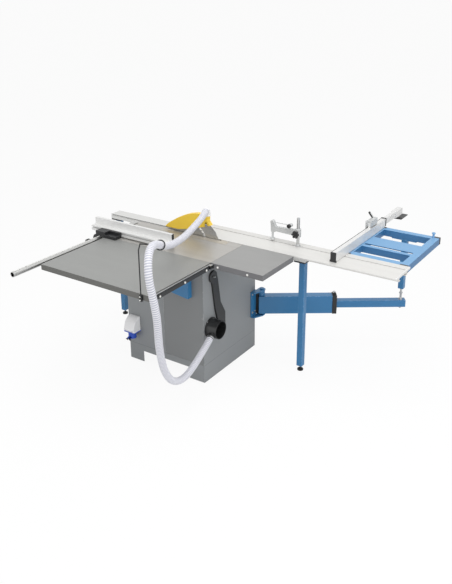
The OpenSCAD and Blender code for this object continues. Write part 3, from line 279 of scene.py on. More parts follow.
shown = wire.node("ShaderNodeMixShader", None,
                  {0: path * 0.92 + mirrored * 0.3, 1: Wire(wire.tree, shader.outputs[0]), 2: lit})
wire.tree.links.new(shown.socket, wire.tree.nodes["Material Output"].inputs["Surface"])
floor.data.materials.append(floor_white)
floor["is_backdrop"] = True

sky = bpy.data.worlds.new("studio_sky")
scene.world = sky
sky.use_nodes = True
wire = Wire(sky.node_tree)
camera_ray, glossy_ray, through_ray = (
    wire.node("ShaderNodeLightPath", out=ray)
    for ray in ("Is Camera Ray", "Is Glossy Ray", "Is Transmission Ray"))
seen = wire.sum_of("MINIMUM", camera_ray + glossy_ray + through_ray, 1.0)
background = sky.node_tree.nodes["Background"]
background.inputs["Color"].default_value = (1, 1, 1, 1)
wire.tree.links.new((seen * 0.45 + 0.55).socket, background.inputs["Strength"])

for lamp_name, place, target, size, power in (
        ("overhead_lamp", (1.0, -1.0, 5.0), (0.2, 0.0, 0.6), 4.5, 150),
        ("outfeed_lamp", (5.5, -1.5, 2.2), (0.0, 0.0, 0.5), 3.0, 75),
        ("rip_side_lamp", (-1.5, -5.5, 2.0), (-0.2, -0.4, 0.4), 3.0, 45)):
    bpy.ops.object.light_add(type="AREA", location=place)
    lamp = bpy.context.object
    lamp.name = lamp_name
    lamp.data.size, lamp.data.energy = size, power
    lamp.rotation_mode = "QUATERNION"
    lamp.rotation_quaternion = (Vector(place) - Vector(target)).to_track_quat("Z", "Y")


# Cabinet: folded and welded 2.5 mm sheet, powder coated grey, with a plinth that a pallet
# truck's forks go into and a screwed panel let into its rip side.
sharp_from = math.radians(38)


def outer_edges(piece):
    """A 1 for each sharp edge that stands outwards and a 0 for every other edge."""
    faces_at = {}
    for face in piece.data.polygons:
        for key in face.edge_keys:
            faces_at.setdefault(key, []).append(face)
    picked = []
    for edge in piece.data.edges:
        pair = faces_at.get(edge.key, [])
        sharp = len(pair) == 2 and pair[0].normal.angle(pair[1].normal, 0) > sharp_from
        outer = sharp and (pair[1].center - pair[0].center).dot(pair[0].normal) < 0
        picked.append(1.0 if outer else 0.0)
    return picked


def apply_last_modifier(piece):
    """Makes the piece's newest modifier part of its mesh."""
    bpy.ops.object.modifier_apply(modifier=piece.modifiers[-1].name)


def edged(name, node, width, segments=2, outer_only=False):
    """A solid of the drawing with its faces joined up and its sharp edges rounded.
    Where other pieces fit into its holes, only the outer edges are rounded."""
    bpy.ops.object.select_all(action="DESELECT")
    piece = bpy.data.objects.new(name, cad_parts[node].data.copy())
    scene.collection.objects.link(piece)
    piece.data.name = name
    piece.data.materials.clear()
    bpy.context.view_layer.objects.active = piece
    piece.select_set(True)
    if piece.data.has_custom_normals:
        bpy.ops.mesh.customdata_custom_splitnormals_clear()
    bpy.ops.object.mode_set(mode="EDIT")
    bpy.ops.mesh.select_all(action="SELECT")
    bpy.ops.mesh.remove_doubles(threshold=0.00001)
    bpy.ops.mesh.dissolve_limited(angle_limit=math.radians(0.8))
    bpy.ops.object.mode_set(mode="OBJECT")
    if width:
        bpy.ops.object.modifier_add(type="BEVEL")
        bevel = piece.modifiers[-1]
        bevel.width, bevel.segments, bevel.limit_method = width, segments, "ANGLE"
        bevel.angle_limit, bevel.use_clamp_overlap = sharp_from, False
        if outer_only:
            bevel.limit_method = "WEIGHT"
            weights = piece.data.attributes.new("bevel_weight_edge", "FLOAT", "EDGE")
            weights.data.foreach_set("value", outer_edges(piece))
        apply_last_modifier(piece)
    worn = []
    for face in piece.data.polygons:
        corners = [piece.data.vertices[v].co for v in face.vertices]
        longest = max((corners[i] - corners[i - 1]).length for i in range(len(corners)))
        worn.append(1.0 if width and face.area < 1.1 * width * longest else 0.0)
    piece.data.attributes.new("worn", "FLOAT", "FACE").data.foreach_set("value", worn)
    bpy.ops.object.shade_smooth_by_angle(angle=math.radians(36))
    if width:
        bpy.ops.object.modifier_add(type="WEIGHTED_NORMAL")
        piece.modifiers[-1].keep_sharp = True
        apply_last_modifier(piece)
    return piece


def fitted(piece, body, slot, material, *nodes):
    """Gives a piece its finish and fixes it to what carries it."""
    if material:
        piece.data.materials.clear()
        piece.data.materials.append(material)
    if nodes:
        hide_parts(*nodes)
    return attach(piece, body)


def dressed(name, node, body, slot, material, width, segments=2, outer_only=False):
    """A solid of the drawing, edged, given its finish and fixed where the solid is."""
    return fitted(edged(name, node, width, segments, outer_only), body, slot, material, node)


def coordinate(wire, axis):
    """One of the piece's own coordinates, in metres."""
    here = wire.node("ShaderNodeTexCoord", out="Object")
    return wire.node("ShaderNodeSeparateXYZ", None, {0: here}, out="XYZ".index(axis))


def rubbed(wire, patches):
    """Small bare patches along the edges, fewer with a higher value of patches."""
    worn = wire.node("ShaderNodeAttribute", {"attribute_name": "worn"}, out="Fac")
    return worn * wire.sum_of("GREATER_THAN", speckle(wire, 55.0, 4.0), patches)


def powder_coat(name, colour, second, roughness=0.42, peel=0.25, edge="#c4c4c0"):
    """Sprayed and baked coat with the fine dimples of powder, thin on the edges."""
    material, shader, wire = new_finish(name, roughness)
    base = blend(wire, speckle(wire, 2.6, 2.0), ink(colour), ink(second))
    join_up(wire, shader, Base_Color=blend(wire, rubbed(wire, 0.56) * 0.4, base, ink(edge)),
            Roughness=roughness - 0.06 + speckle(wire, 14.0) * 0.12,
            Normal=ripple(wire, speckle(wire, 620.0, 2.0), peel, 0.0006))
    return material


def ruled(wire, axis, at, half):
    """A thin straight line across a piece, where one of its coordinates is close to a value."""
    off = wire.sum_of("ABSOLUTE", coordinate(wire, axis) - at, 0.0)
    return wire.sum_of("LESS_THAN", off, half)


cabinet_coat, shader, wire = new_finish("cabinet_powder_coat", 0.46)
plinth_seam_z, seam_half = 0.133, 0.0012
seam = ruled(wire, "Z", plinth_seam_z, seam_half)
base = blend(wire, speckle(wire, 1.7, 2.0), ink("#85888a"), ink("#8e9193"))
base = blend(wire, rubbed(wire, 0.5) * 0.35, base, ink("#c9cbcc"))
join_up(wire, shader, Base_Color=blend(wire, seam * 0.55, base, ink("#4b4c4d")),
        Roughness=0.4 + speckle(wire, 11.0) * 0.12,
        Normal=ripple(wire, speckle(wire, 620.0, 2.0) * 0.3 - seam, 0.3, 0.0008))
dressed("cabinet_shell", "cabinet", "machine", "cabinet_paint", cabinet_coat, 0.0011)
panel_coat = powder_coat("panel_powder_coat", "#7a7c7d", "#828485", 0.46, 0.22)
dressed("screwed_side_panel", "side_panel", "machine", "side_paint", panel_coat, 0.0009)
dressed("louvred_service_door", "service_door", "door", "cabinet_paint", panel_coat, 0.0009)


# Levelling feet: rubber pads on threaded studs, screwed up into the cabinet and the two legs. A
# lock nut holds the stud of each leg.
def turned(name, at, axis, steps, sides=32):
    """A turned piece: a disc that is extruded and resized through steps of length and radius, in mm."""
    bpy.ops.object.select_all(action="DESELECT")
    bpy.ops.mesh.primitive_circle_add(vertices=sides, radius=steps[0][1] / 1000, fill_type="NGON")
    piece = bpy.context.object
    piece.name = piece.data.name = name
    bpy.ops.object.mode_set(mode="EDIT")
    bpy.ops.mesh.select_all(action="SELECT")
    radius = steps[0][1]
    for length, wide in steps[1:]:
        bpy.ops.mesh.extrude_region_move(TRANSFORM_OT_translate={"value": (0, 0, length / 1000)})
        if wide != radius:
            bpy.ops.transform.resize(value=(wide / radius, wide / radius, 1))
        radius = wide
    bpy.ops.mesh.select_all(action="SELECT")
    bpy.ops.mesh.normals_make_consistent(inside=False)
    bpy.ops.object.mode_set(mode="OBJECT")
    bpy.ops.object.shade_smooth_by_angle(angle=math.radians(30))
    turn = Vector((0, 0, 1)).rotation_difference(Vector(axis)).to_matrix().to_4x4()
    piece.data.transform(Matrix.Translation(Vector(at)) @ turn)
    return piece


def spot(x, y, z):
    """A place by the machine's own drawing, in mm, as a point of the frame."""
    return Vector(((x + 40) / 1000, (y - 407.5) / 1000, z / 1000))


def gathered(name, pieces):
    """Like pieces that were made one by one, joined into one object."""
    bpy.ops.object.select_all(action="DESELECT")
    for piece in pieces:
        piece.select_set(True)
    bpy.context.view_layer.objects.active = pieces[0]
    bpy.ops.object.join()
    pieces[0].name = pieces[0].data.name = name
    return pieces[0]


def moulded(name, colour, second, roughness=0.5, grain=0.2, **fixed):
    """Moulded plastic or rubber with a spark-eroded grain."""
    material, shader, wire = new_finish(name, roughness, **fixed)
    join_up(wire, shader, Base_Color=blend(wire, speckle(wire, 6.0), ink(colour), ink(second)),
            Roughness=roughness - 0.05 + speckle(wire, 40.0) * 0.1,
            Normal=ripple(wire, speckle(wire, 900.0, 2.0), grain, 0.0004))
    return material


def drawn_metal(name, colour, second, roughness, along, metallic=1.0, lines=0.12):
    """Drawn or ground metal, with fine lines along one way."""
    material, shader, wire = new_finish(name, roughness, metallic)
    fine = speckle(wire, 1.0, 5.0, tuple(6.0 if a else 900.0 for a in along))
    wide = speckle(wire, 1.0, 2.0, tuple(1.5 if a else 60.0 for a in along))
    join_up(wire, shader, Base_Color=blend(wire, fine * 0.5 + wide * 0.5, ink(colour), ink(second)),
            Roughness=roughness - 0.06 + fine * 0.12, Normal=ripple(wire, fine, lines, 0.0003))
    return material


black_rubber = moulded("black_rubber", "#161616", "#1e1e1e", 0.75, 0.35)
zinc = drawn_metal("zinc_plated_steel", "#a9aaab", "#c3c4c5", 0.3, (1, 0, 0))
dressed("levelling_pads", "levelling_feet", "machine", "black_rubber", black_rubber, 0.0012)
leg_feet = ((-1125, 505), (426, 500))
nuts = [turned("nut", spot(x, y, 26), (0, 0, 1), [(0, 8), (1, 10), (6, 10), (1, 8)], 6)
        for x, y in leg_feet]
fitted(gathered("foot_lock_nuts", nuts), "machine", "steel", zinc)

# Main table: grey iron, planed and then ground along the feed, so that fine bright lines run
# over it. The insert beside the blade is a screwed aluminium plate.
ground_iron, shader, wire = new_finish("ground_grey_iron", 0.42, 0.35)
lines = speckle(wire, 1.0, 4.0, (5.0, 700.0, 700.0))
bands = speckle(wire, 1.0, 2.0, (0.8, 26.0, 26.0))
patch = speckle(wire, 5.0, 3.0)
base = blend(wire, bands * 0.5 + lines * 0.3 + patch * 0.2, ink("#9d9a95"), ink("#bcbab6"))
join_up(wire, shader, Base_Color=base, Roughness=0.27 + lines * 0.12 + patch * 0.06,
        Normal=ripple(wire, lines, 0.14, 0.0003))
dressed("ground_main_table", "main_table", "machine", "cast_table", ground_iron, 0.0015)
# The insert's alloy colour is tinted brown as a painted reflection of the yellow guard above it.
insert_alu_with_guard_reflection = drawn_metal("insert_plate_alu", "#aca496", "#bdb6a8", 0.34, (1, 0, 0), 0.5)
dressed("blade_insert", "table_insert", "machine", "alu", insert_alu_with_guard_reflection, 0.0005)
countersunk = [(0, 5.5), (0.25, 5.2), (0.01, 2.6), (-0.2, 2.4)]
screws = [turned("insert_screw", spot(x, y, 850.05), (0, 0, 1), countersunk, 24)
          for x, y in ((-582, 338), (-582, 378), (-68, 338), (-68, 378), (-325, 334))]
fitted(gathered("insert_screws", screws), "machine", "steel", zinc)


# Sheet steel tables: 3 mm sheet folded down and in all round, coated grey. The rip extension
# hangs on the rail and two blue brackets, and the outfeed table is bolted to the main one.
table_top = 0.85


def table_coat(name, top, side):
    """Grey coat, polished on top and dull on the folded edges, with the top painted lighter as lit and the
    folded edges painted darker as shade.
    """
    material, shader, wire = new_finish(name, 0.4)
    lit_top_mask = wire.sum_of("GREATER_THAN", coordinate(wire, "Z"), table_top - 0.0008)
    rub = speckle(wire, 1.0, 3.0, (2.0, 14.0, 2.0))
    tone = blend(wire, rub, ink(top[0]), ink(top[1]))
    edge = blend(wire, speckle(wire, 4.0), ink(side[0]), ink(side[1]))
    join_up(wire, shader, Base_Color=blend(wire, lit_top_mask, edge, tone),
            Roughness=0.46 - lit_top_mask * 0.1 + rub * 0.06,
            Normal=ripple(wire, speckle(wire, 500.0, 2.0), 0.16, 0.0006))
    return material


def two_finishes(piece, first, second, has_second):
    """Gives the faces that has_second picks the second finish, and all others the first."""
    piece.data.materials.append(first)
    piece.data.materials.append(second)
    for face in piece.data.polygons:
        face.material_index = 1 if has_second(face) else 0
    return piece


# The top and edge colours given here are lit and shaded copies of one grey coat.
extension_coat = table_coat("extension_table_coat", ("#878886", "#90918f"), ("#5c5c59", "#646461"))
outfeed_coat = table_coat("outfeed_table_coat", ("#8b8b8a", "#949493"), ("#676769", "#6f6f71"))
dressed("folded_extension_table", "extension_table", "machine", "grey_paint", extension_coat, 0.0022, 3)
dressed("folded_outfeed_table", "outfeed_table", "machine", "grey_paint", outfeed_coat, 0.0022, 3)
blue_coat = powder_coat("blue_powder_coat", "#2d6f9f", "#377aab", 0.33, 0.3, "#8db4da")
dressed("table_brackets", "extension_brackets", "machine", "blue_paint", blue_coat, 0.001)
black_coat = powder_coat("black_coat", "#17181a", "#1f2022", 0.4, 0.3, "#55565a")
# The black rail's upward faces get bright zinc as a painted highlight along the extension table's edge.
rail_top = table_top - 0.006
rail = two_finishes(edged("extension_edge_rail", "edge_rail", 0.0012), black_coat, zinc,
                    lambda face: face.normal.z > 0.8 and face.center.z > rail_top)
fitted(rail, "machine", "black_steel", None, "edge_rail")
white_cap = moulded("white_bolt_caps", "#dcdcd8", "#e8e8e4", 0.4, 0.1)
socket_head = [(0, 6.5), (3, 6.5), (1.3, 5.4), (0.6, 3.4), (-1.2, 3)]
caps = [turned("cap", spot(x, 24, 830), (0, -1, 0), socket_head, 24) for x in (97, 308)]
caps += [turned("cap", spot(62, y, 826.5), (1, 0, 0), socket_head, 24) for y in (-485, -258, -45)]
fitted(gathered("table_bolt_heads", caps), "machine", "white_plastic", white_cap, "table_bolts")

# Fence rail: a bright drawn tube, screwed to black saddles along the infeed edge of the tables,
# with an engraved scale let in along its top.
rail_steel = drawn_metal("bright_drawn_tube", "#b7b7b6", "#d2d2d0", 0.24, (0, 1, 0), 1.0)
dressed("fence_rail_tube", "fence_rail", "machine", "steel", rail_steel, 0.0006)
dressed("fence_rail_saddles", "rail_brackets", "machine", "black_steel", black_coat, 0.0008)
bpy.ops.object.select_all(action="DESELECT")
bpy.ops.mesh.primitive_grid_add(x_subdivisions=6, y_subdivisions=2, size=1)
scale = bpy.context.object
scale.name = scale.data.name = "fence_scale"
scale_r, scale_arc = 0.0172, 0.62
scale_from, scale_to = spot(-842, -738, 840), spot(-842, 20, 840)
for v in scale.data.vertices:
    turn = v.co.x * scale_arc
    v.co = (scale_from.lerp(scale_to, v.co.y + 0.5)
            + scale_r * Vector((math.sin(turn), 0, math.cos(turn))))
scale_skin, shader, wire = new_finish("engraved_scale", 0.45)
infeed_half = wire.sum_of("LESS_THAN", coordinate(wire, "X"), scale_from.x)
along_rail = coordinate(wire, "Y")
tick = wire.sum_of("LESS_THAN", wire.sum_of("PINGPONG", along_rail, 0.005), 0.0007)
long_tick = wire.sum_of("LESS_THAN", wire.sum_of("PINGPONG", along_rail, 0.025), 0.001)
marks = wire.sum_of("MAXIMUM", tick * infeed_half, long_tick)
join_up(wire, shader, Base_Color=blend(wire, marks, ink("#d8d8d4"), ink("#2a2a2c")),
        Roughness=0.4 + speckle(wire, 30.0) * 0.1)
fitted(scale, "machine", "steel", scale_skin)

# Hose holder and dust port: a bent black rod with a welded ring, and a moulded port whose branch
# takes the hose under a worm-drive clip. The duct behind it goes under the blade.
black_plastic = moulded("black_moulded_plastic", "#191a1b", "#222324", 0.42, 0.22)
dressed("hose_holder_rod", "hose_holder", "machine", "black_steel", black_coat, 0.0)
rod_screws = [turned("rod_screw", spot(-10, -571, z), (0, -1, 0), [(0, 4.4), (1.6, 4.4), (0.8, 3.2)], 20)
              for z in (818, 838)]
fitted(gathered("holder_screws", rod_screws), "machine", "white_plastic", white_cap)
dressed("moulded_dust_port", "dust_port", "machine", "black_plastic", black_plastic, 0.0018, 3)
mouth_way = end_step.normalized()
clip = turned("hose_clip", hose_end + mouth_way * 0.004, tuple(mouth_way),
              [(0, 22.1), (0, 23.4), (1, 23.8), (7, 23.8), (1, 23.4), (0, 22.1)], 40)
fitted(clip, "machine", "steel", zinc)
port_y, port_z, screw_circle = 75, 380, 64
port_screws = [turned("port_screw", spot(4, port_y + screw_circle * math.cos(a),
                                         port_z + screw_circle * math.sin(a)),
                      (1, 0, 0), [(0, 3.6), (1.4, 3.6), (0.8, 2.6)], 20) for a in (0.6, 2.2, 3.9, 5.4)]
fitted(gathered("port_flange_screws", port_screws), "machine", "steel", zinc)
galvanised = drawn_metal("galvanised_sheet", "#7f8284", "#96999b", 0.5, (0, 0, 1), 0.6)
dressed("blade_duct", "dust_duct", "machine", "grey_paint", galvanised, 0.0006)

# Mains inlet: a white moulded housing, screwed on, with a blue socket that points down under
# a sprung lid. The black moulded push stick hangs on a hook at the outfeed face.
white_plastic = moulded("white_moulded_plastic", "#f0f0f2", "#f6f6f7", 0.35, 0.12)
blue_plastic = moulded("blue_moulded_plastic", "#2449b4", "#2c55c4", 0.35, 0.12)
dressed("inlet_housing", "inlet_box", "machine", "white_plastic", white_plastic, 0.004, 4)
inlet_screws = [turned("inlet_screw", spot(x, -75.6, 262), (0, -1, -0.3),
                       [(0, 3.2), (0.8, 3.2), (0.5, 2.4)], 20) for x in (-600, -535)]
fitted(gathered("inlet_screws", inlet_screws), "machine", "steel", zinc)
dressed("inlet_socket_ring", "inlet_socket", "machine", "blue_plastic", blue_plastic, 0.0008, 2, True)
dressed("inlet_socket_lid", "inlet_lid", "socket_lid", "blue_plastic", blue_plastic, 0.001, 2, True)
dressed("moulded_push_stick", "push_stick", "stick", "black_plastic", black_plastic, 0.0035, 4)

# Switch box: a moulded housing with rounded outer edges, screwed on at the infeed face, with a
# green key that starts the motor and a red one that stops it.
green_key = moulded("green_key_plastic", "#0c8a35", "#129a3e", 0.3, 0.05)
red_key = moulded("red_key_plastic", "#c01712", "#cf2019", 0.3, 0.05)
dressed("switch_housing", "switch_box", "machine", "black_plastic", black_plastic, 0.002, 4, True)
dressed("start_key", "start_button", "start_key", "green_plastic", green_key, 0.001, 3)
dressed("stop_key", "stop_button", "stop_key", "red_plastic", red_key, 0.0015, 3)

# Guide beam, legs and arm bracket: the sliding table runs on a hard anodised beam that two blue
# box-section legs and the cabinet carry. The bracket is welded plate on four bolts.
beam_alu, shader, wire = new_finish("hard_anodised_beam", 0.4, 0.3)
fine = speckle(wire, 1.0, 5.0, (6.0, 900.0, 900.0))
# The dark strip along the beam's near face, just under its top, is painted shade that stands in for the
# groove there.
groove_shade_z, groove_shade_half, table_side_y = 0.8265, 0.0032, 0.0502
painted_groove_shade = (ruled(wire, "Z", groove_shade_z, groove_shade_half)
         * wire.sum_of("LESS_THAN", coordinate(wire, "Y"), table_side_y))
base = blend(wire, fine, ink("#cfcfcd"), ink("#dfdfdd"))
join_up(wire, shader, Base_Color=blend(wire, painted_groove_shade, base, ink("#26272a")), Roughness=0.36 + fine * 0.12,
        Normal=ripple(wire, fine, 0.12, 0.0003))
dressed("guide_beam_profile", "guide_beam", "machine", "alu", beam_alu, 0.0008)
# The legs' top plates under the beam get the black coat as painted shade.
top_plate_z = 0.7825
legs = two_finishes(edged("box_section_legs", "support_legs", 0.0025, 3), blue_coat, black_coat,
                    lambda face: face.center.z > top_plate_z)
fitted(legs, "machine", "blue_paint", None, "support_legs")
dressed("welded_arm_bracket", "arm_bracket", "machine", "blue_paint", blue_coat, 0.0014, 3)
bracket_bolts = [turned("bracket_bolt", spot(8, y, z), (1, 0, 0),
                        [(0, 8), (0.1, 9.5), (4.5, 9.5), (1, 8)], 6)
                 for y in (562, 596) for z in (285, 423)]
fitted(gathered("bracket_bolts", bracket_bolts), "machine", "steel", zinc)

# Saw unit inside the cabinet: cast cradle in two trunnions, the arbor slide on its rods, the
# motor with its finned body, and the belt up to the arbor.
cast_iron, shader, wire = new_finish("cast_grey_iron", 0.6, 0.25)
sand = speckle(wire, 180.0, 4.0)
join_up(wire, shader, Base_Color=blend(wire, speckle(wire, 12.0), ink("#54575a"), ink("#66696c")),
        Roughness=0.52 + sand * 0.15, Normal=ripple(wire, sand, 0.5, 0.0008))
dressed("tilt_trunnions", "trunnions", "machine", "grey_iron", cast_iron, 0.0012)
dressed("cast_tilt_cradle", "tilt_cradle", "saw_unit", "grey_iron", cast_iron, 0.0012)
dressed("cast_arbor_slide", "arbor_slide", "arbor_unit", "grey_iron", cast_iron, 0.0012)
motor_coat = powder_coat("motor_coat", "#2f5f8c", "#376a99", 0.45, 0.3)
motor_x, motor_y, motor_z, motor_long = -386, 31, 600, 235
fan_cover = [(0, 50), (0, 66), (3, 70), (22, 70), (2, 67)]
fins = [(1, 63), (6, 63), (1, 69), (3, 69)] * 12
flange_and_shaft = [(2, 66), (22, 66), (3, 60), (0, 9.5), (14, 9.4), (20, 9.4), (2, 8)]
motor_steps = fan_cover + fins + flange_and_shaft
drawn_long = sum(length for length, radius in motor_steps)
motor_steps = [(length * motor_long / drawn_long, radius) for length, radius in motor_steps]
motor = turned("finned_motor", spot(motor_x, motor_y, motor_z), (0, 1, 0), motor_steps, 48)
fitted(motor, "arbor_unit", "motor_paint", motor_coat, "motor")
belt_rubber = moulded("belt_rubber", "#1a1a1b", "#232324", 0.6, 0.3)
dressed("drive_belt_band", "drive_belt", "arbor_unit", "belt_rubber", belt_rubber, 0.0006)
turned_alu = drawn_metal("turned_aluminium", "#a8a9aa", "#bdbebf", 0.32, (0, 1, 0), 0.9)
dressed("motor_pulley_wheel", "motor_pulley", "motor_drive", "alu_cast", turned_alu, 0.0012)
bright = drawn_metal("bright_ground_steel", "#b4b5b6", "#cbccce", 0.26, (0, 1, 0), 1.0)
dressed("arbor_and_flanges", "arbor_shaft", "spindle", "steel", bright, 0.0008)
dressed("height_spindle", "lift_screw", "lift_spindle", "steel", bright, 0.0006)

# Saw blade and riving knife: the blade's body is ground in rings and carries brazed carbide
# tips; the knife behind it is a polished steel plate.
blade_steel, shader, wire = new_finish("ground_blade_steel", 0.3, 1.0)
arbor = Vector((-0.346, -0.0305, 0.778))
from_arbor = wire.node("ShaderNodeVectorMath", {"operation": "SUBTRACT"},
                       {0: wire.node("ShaderNodeTexCoord", out="Object"), 1: arbor})
spun = wire.node("ShaderNodeVectorMath", {"operation": "LENGTH"}, {0: from_arbor}, out="Value")
rings = wire.node("ShaderNodeTexNoise", {"noise_dimensions": "1D"},
                  {"W": spun, "Scale": 700.0, "Detail": 3.0})
join_up(wire, shader, Base_Color=blend(wire, rings, ink("#a6a8aa"), ink("#c8cacc")),
        Roughness=0.24 + rings * 0.14, Normal=ripple(wire, rings, 0.2, 0.0002))
dressed("carbide_saw_blade", "saw_blade", "spindle", "steel", blade_steel, 0.0)
teeth, tip_circle, tip_half = 40, 0.1547, 0.0016
tips = []
for k in range(teeth):
    a = 2 * math.pi * k / teeth
    at = arbor + Vector((tip_circle * math.cos(a), -tip_half, tip_circle * math.sin(a)))
    tips.append(turned("tip", at, (0, 1, 0), [(0, 1.9), (0.2, 2.1), (2.8, 2.1), (0.2, 1.9)], 4))
carbide = moulded("carbide", "#6d6e70", "#7b7c7e", 0.4, 0.05)
fitted(gathered("carbide_tips", tips), "spindle", "steel", carbide)
knife_steel = drawn_metal("polished_knife_steel", "#bcbdbe", "#d6d7d8", 0.22, (1, 0, 0), 1.0)
dressed("riving_knife_plate", "riving_knife", "arbor_unit", "steel", knife_steel, 0.0004)

# Blade guard: one yellow moulding, thin walled and open below, that swings on a screw through
# the knife. A white elbow is glued into its spigot and takes the hose.
guard_yellow, shader, wire = new_finish("yellow_moulded_guard", 0.34, Coat_Weight=0.2, Coat_Roughness=0.15)
flow = speckle(wire, 3.0, 2.0)
join_up(wire, shader, Base_Color=blend(wire, flow, ink("#f2cb3c"), ink("#f7d44c")),
        Roughness=0.3 + speckle(wire, 24.0) * 0.1,
        Normal=ripple(wire, speckle(wire, 420.0, 2.0), 0.08, 0.0005))
dressed("moulded_blade_guard", "blade_guard", "guard", "yellow_plastic", guard_yellow, 0.0018, 3)
dressed("hose_elbow", "guard_elbow", "guard", "white_plastic", white_plastic, 0.0)
blade_y, guard_half = 377, 16.2
pivot_heads = [turned("pivot_head", spot(-225, blade_y + side * guard_half, 940), (0, side, 0),
                      [(0, 9), (1.2, 10), (5, 10), (1.5, 8), (0.2, 4), (-2, 3.6)], 24)
               for side in (-1, 1)]
fitted(gathered("guard_pivot_heads", pivot_heads), "guard", "steel", zinc)

# Handwheels: black moulded rims on three spokes, with a turned hub cap and a free crank. One
# works the screw that lifts the arbor slide, and the other the pinion that tilts the cradle.
for name, node, body in (("height_wheel_rim", "height_handwheel", "height_wheel"),
                         ("tilt_wheel_rim", "tilt_handwheel", "tilt_wheel")):
    dressed(name, node, body, "black_plastic", black_plastic, 0.0012)
tilt_arc, tilt_at = 168.3, math.radians(238)
tilt_y, tilt_z = blade_y + tilt_arc * math.cos(tilt_at), 850 + tilt_arc * math.sin(tilt_at)
for name, y, z, body in (("height_hub_cap", 323, 560, "height_wheel"),
                         ("tilt_hub_cap", tilt_y, tilt_z, "tilt_wheel")):
    cap = turned(name, spot(-668, y, z), (-1, 0, 0), [(0, 15), (1.5, 15), (1.5, 13), (0.8, 8)], 32)
    fitted(cap, body, "steel", zinc)

# Rip fence: a black cast head clamps round the rail, and a light alloy profile with a low and a
# high side is held on its key. The profile's outfeed end is closed with a stepped black cap.
dressed("cast_fence_head", "rip_fence_head", "rip_head", "black_steel", black_coat, 0.0016, 3, True)
fence_alu = drawn_metal("fence_profile_alu", "#d8d8d7", "#e6e6e5", 0.38, (1, 0, 0), 0.25)
dressed("rip_fence_profile", "rip_fence", "rip_bar", "alu", fence_alu, 0.0009)
dressed("clamp_knob", "rip_clamp_knob", "clamp_knob", "black_plastic", black_plastic, 0.0025, 3)
dressed("adjust_knob", "fine_adjust_knob", "adjust_knob", "black_plastic", black_plastic, 0.0025, 3)


def bar(name, low, high, bevel=0.0, segments=1):
    """A bar from its low to its high corner, with its edges bevelled where a width is given."""
    bpy.ops.object.select_all(action="DESELECT")
    bpy.ops.mesh.primitive_cube_add(size=1)
    piece = bpy.context.object
    piece.name = piece.data.name = name
    piece.data.transform(Matrix.Translation((low + high) / 2) @ Matrix.Diagonal((*(high - low), 1)))
    if bevel:
        bpy.ops.object.mode_set(mode="EDIT")
        bpy.ops.mesh.select_all(action="SELECT")
        bpy.ops.mesh.bevel(offset=bevel, segments=segments)
        bpy.ops.object.mode_set(mode="OBJECT")
    return piece


step, hair = spot(0, 98.5, 892.5), 0.0002
end_cap = bar("rip_fence_end_cap", spot(-309, 56.5, 858.5), spot(-306.5, 117.5, 937.5))
bpy.ops.object.mode_set(mode="EDIT")
for square_to in ((0, 0, 1), (0, 1, 0)):
    bpy.ops.mesh.select_all(action="SELECT")
    bpy.ops.mesh.bisect(plane_co=step, plane_no=square_to)
bpy.ops.mesh.select_all(action="DESELECT")
bpy.ops.object.mode_set(mode="OBJECT")
for v in end_cap.data.vertices:
    v.select = v.co.z > step.z + hair and v.co.y < step.y - hair
bpy.ops.object.mode_set(mode="EDIT")
bpy.ops.mesh.delete(type="VERT")
bpy.ops.mesh.select_all(action="SELECT")
bpy.ops.mesh.fill_holes(sides=0)
bpy.ops.mesh.normals_make_consistent(inside=False)
bpy.ops.object.mode_set(mode="OBJECT")
fitted(end_cap, "rip_bar", "black_plastic", black_plastic)

# Sliding table: a light alloy deck with a T-slot, on a cage of rollers over the beam. Its top is
# brushed along the feed, and a bright strip closes the deck at each end.
deck_alu, shader, wire = new_finish("brushed_deck_alu", 0.42, 0.15)
lines = speckle(wire, 1.0, 4.0, (5.0, 800.0, 800.0))
bands = speckle(wire, 1.0, 2.0, (0.7, 18.0, 18.0))
join_up(wire, shader, Base_Color=blend(wire, lines * 0.4 + bands * 0.6, ink("#d0cfcc"), ink("#e0dfdc")),
        Roughness=0.36 + lines * 0.12, Normal=ripple(wire, lines, 0.1, 0.0003))
dressed("sliding_deck", "carriage", "sliding_table", "alu", deck_alu, 0.0009)
dressed("bearing_cage", "roller_cage", "rollers", "steel", bright, 0.0004)
end_strips = [bar("deck_end_strip", spot(x0, 392.2, 842.8), spot(x1, 614.8, 850.25), 0.0008)
              for x0, x1 in ((1072, 1080.4), (-520.4, -514))]
fitted(gathered("deck_end_strips", end_strips), "sliding_table", "alu", fence_alu)

# Outrigger: blue box section frame with a plate shelf, painted paler on top as a reflection of the sky.
# Its black push-in caps have rims that stand proud, and its post stands on the swing arm's pin.
frame_coat, shader, wire = new_finish("outrigger_blue_coat", 0.26)
lit_top_mask = wire.sum_of("GREATER_THAN", coordinate(wire, "Z"), table_top - 0.0017)
cloud = speckle(wire, 3.0, 2.0)
# The top's paler blue is a painted reflection of the sky.
painted_sky_sheen = blend(wire, cloud, ink("#6f9fca"), ink("#7ba9d1"))
below = blend(wire, cloud, ink("#2e6596"), ink("#37709f"))
join_up(wire, shader, Base_Color=blend(wire, lit_top_mask, below, painted_sky_sheen),
        Roughness=0.34 + lit_top_mask * 0.1 + cloud * 0.08,
        Normal=ripple(wire, speckle(wire, 620.0, 2.0), 0.25, 0.0006))
dressed("outrigger_weldment", "outrigger_frame", "sliding_table", "blue_paint", frame_coat, 0.0012)
dressed("outrigger_end_caps", "outrigger_caps", "sliding_table", "black_plastic", black_plastic, 0.001)
dressed("outrigger_support_post", "outrigger_post", "sliding_table", "blue_paint", blue_coat, 0.002, 3)
tube_w, proud = 50, 0.6
rims = [bar("cap_rim", spot(x - proud, y0, 803.4), spot(x + tube_w + proud, y1, 849.5), 0.0012, 2)
        for y0, y1 in ((615, 631), (1183, 1207.8)) for x in (640, 1012)]
fitted(gathered("outrigger_cap_rims", rims), "sliding_table", "black_plastic", black_plastic)

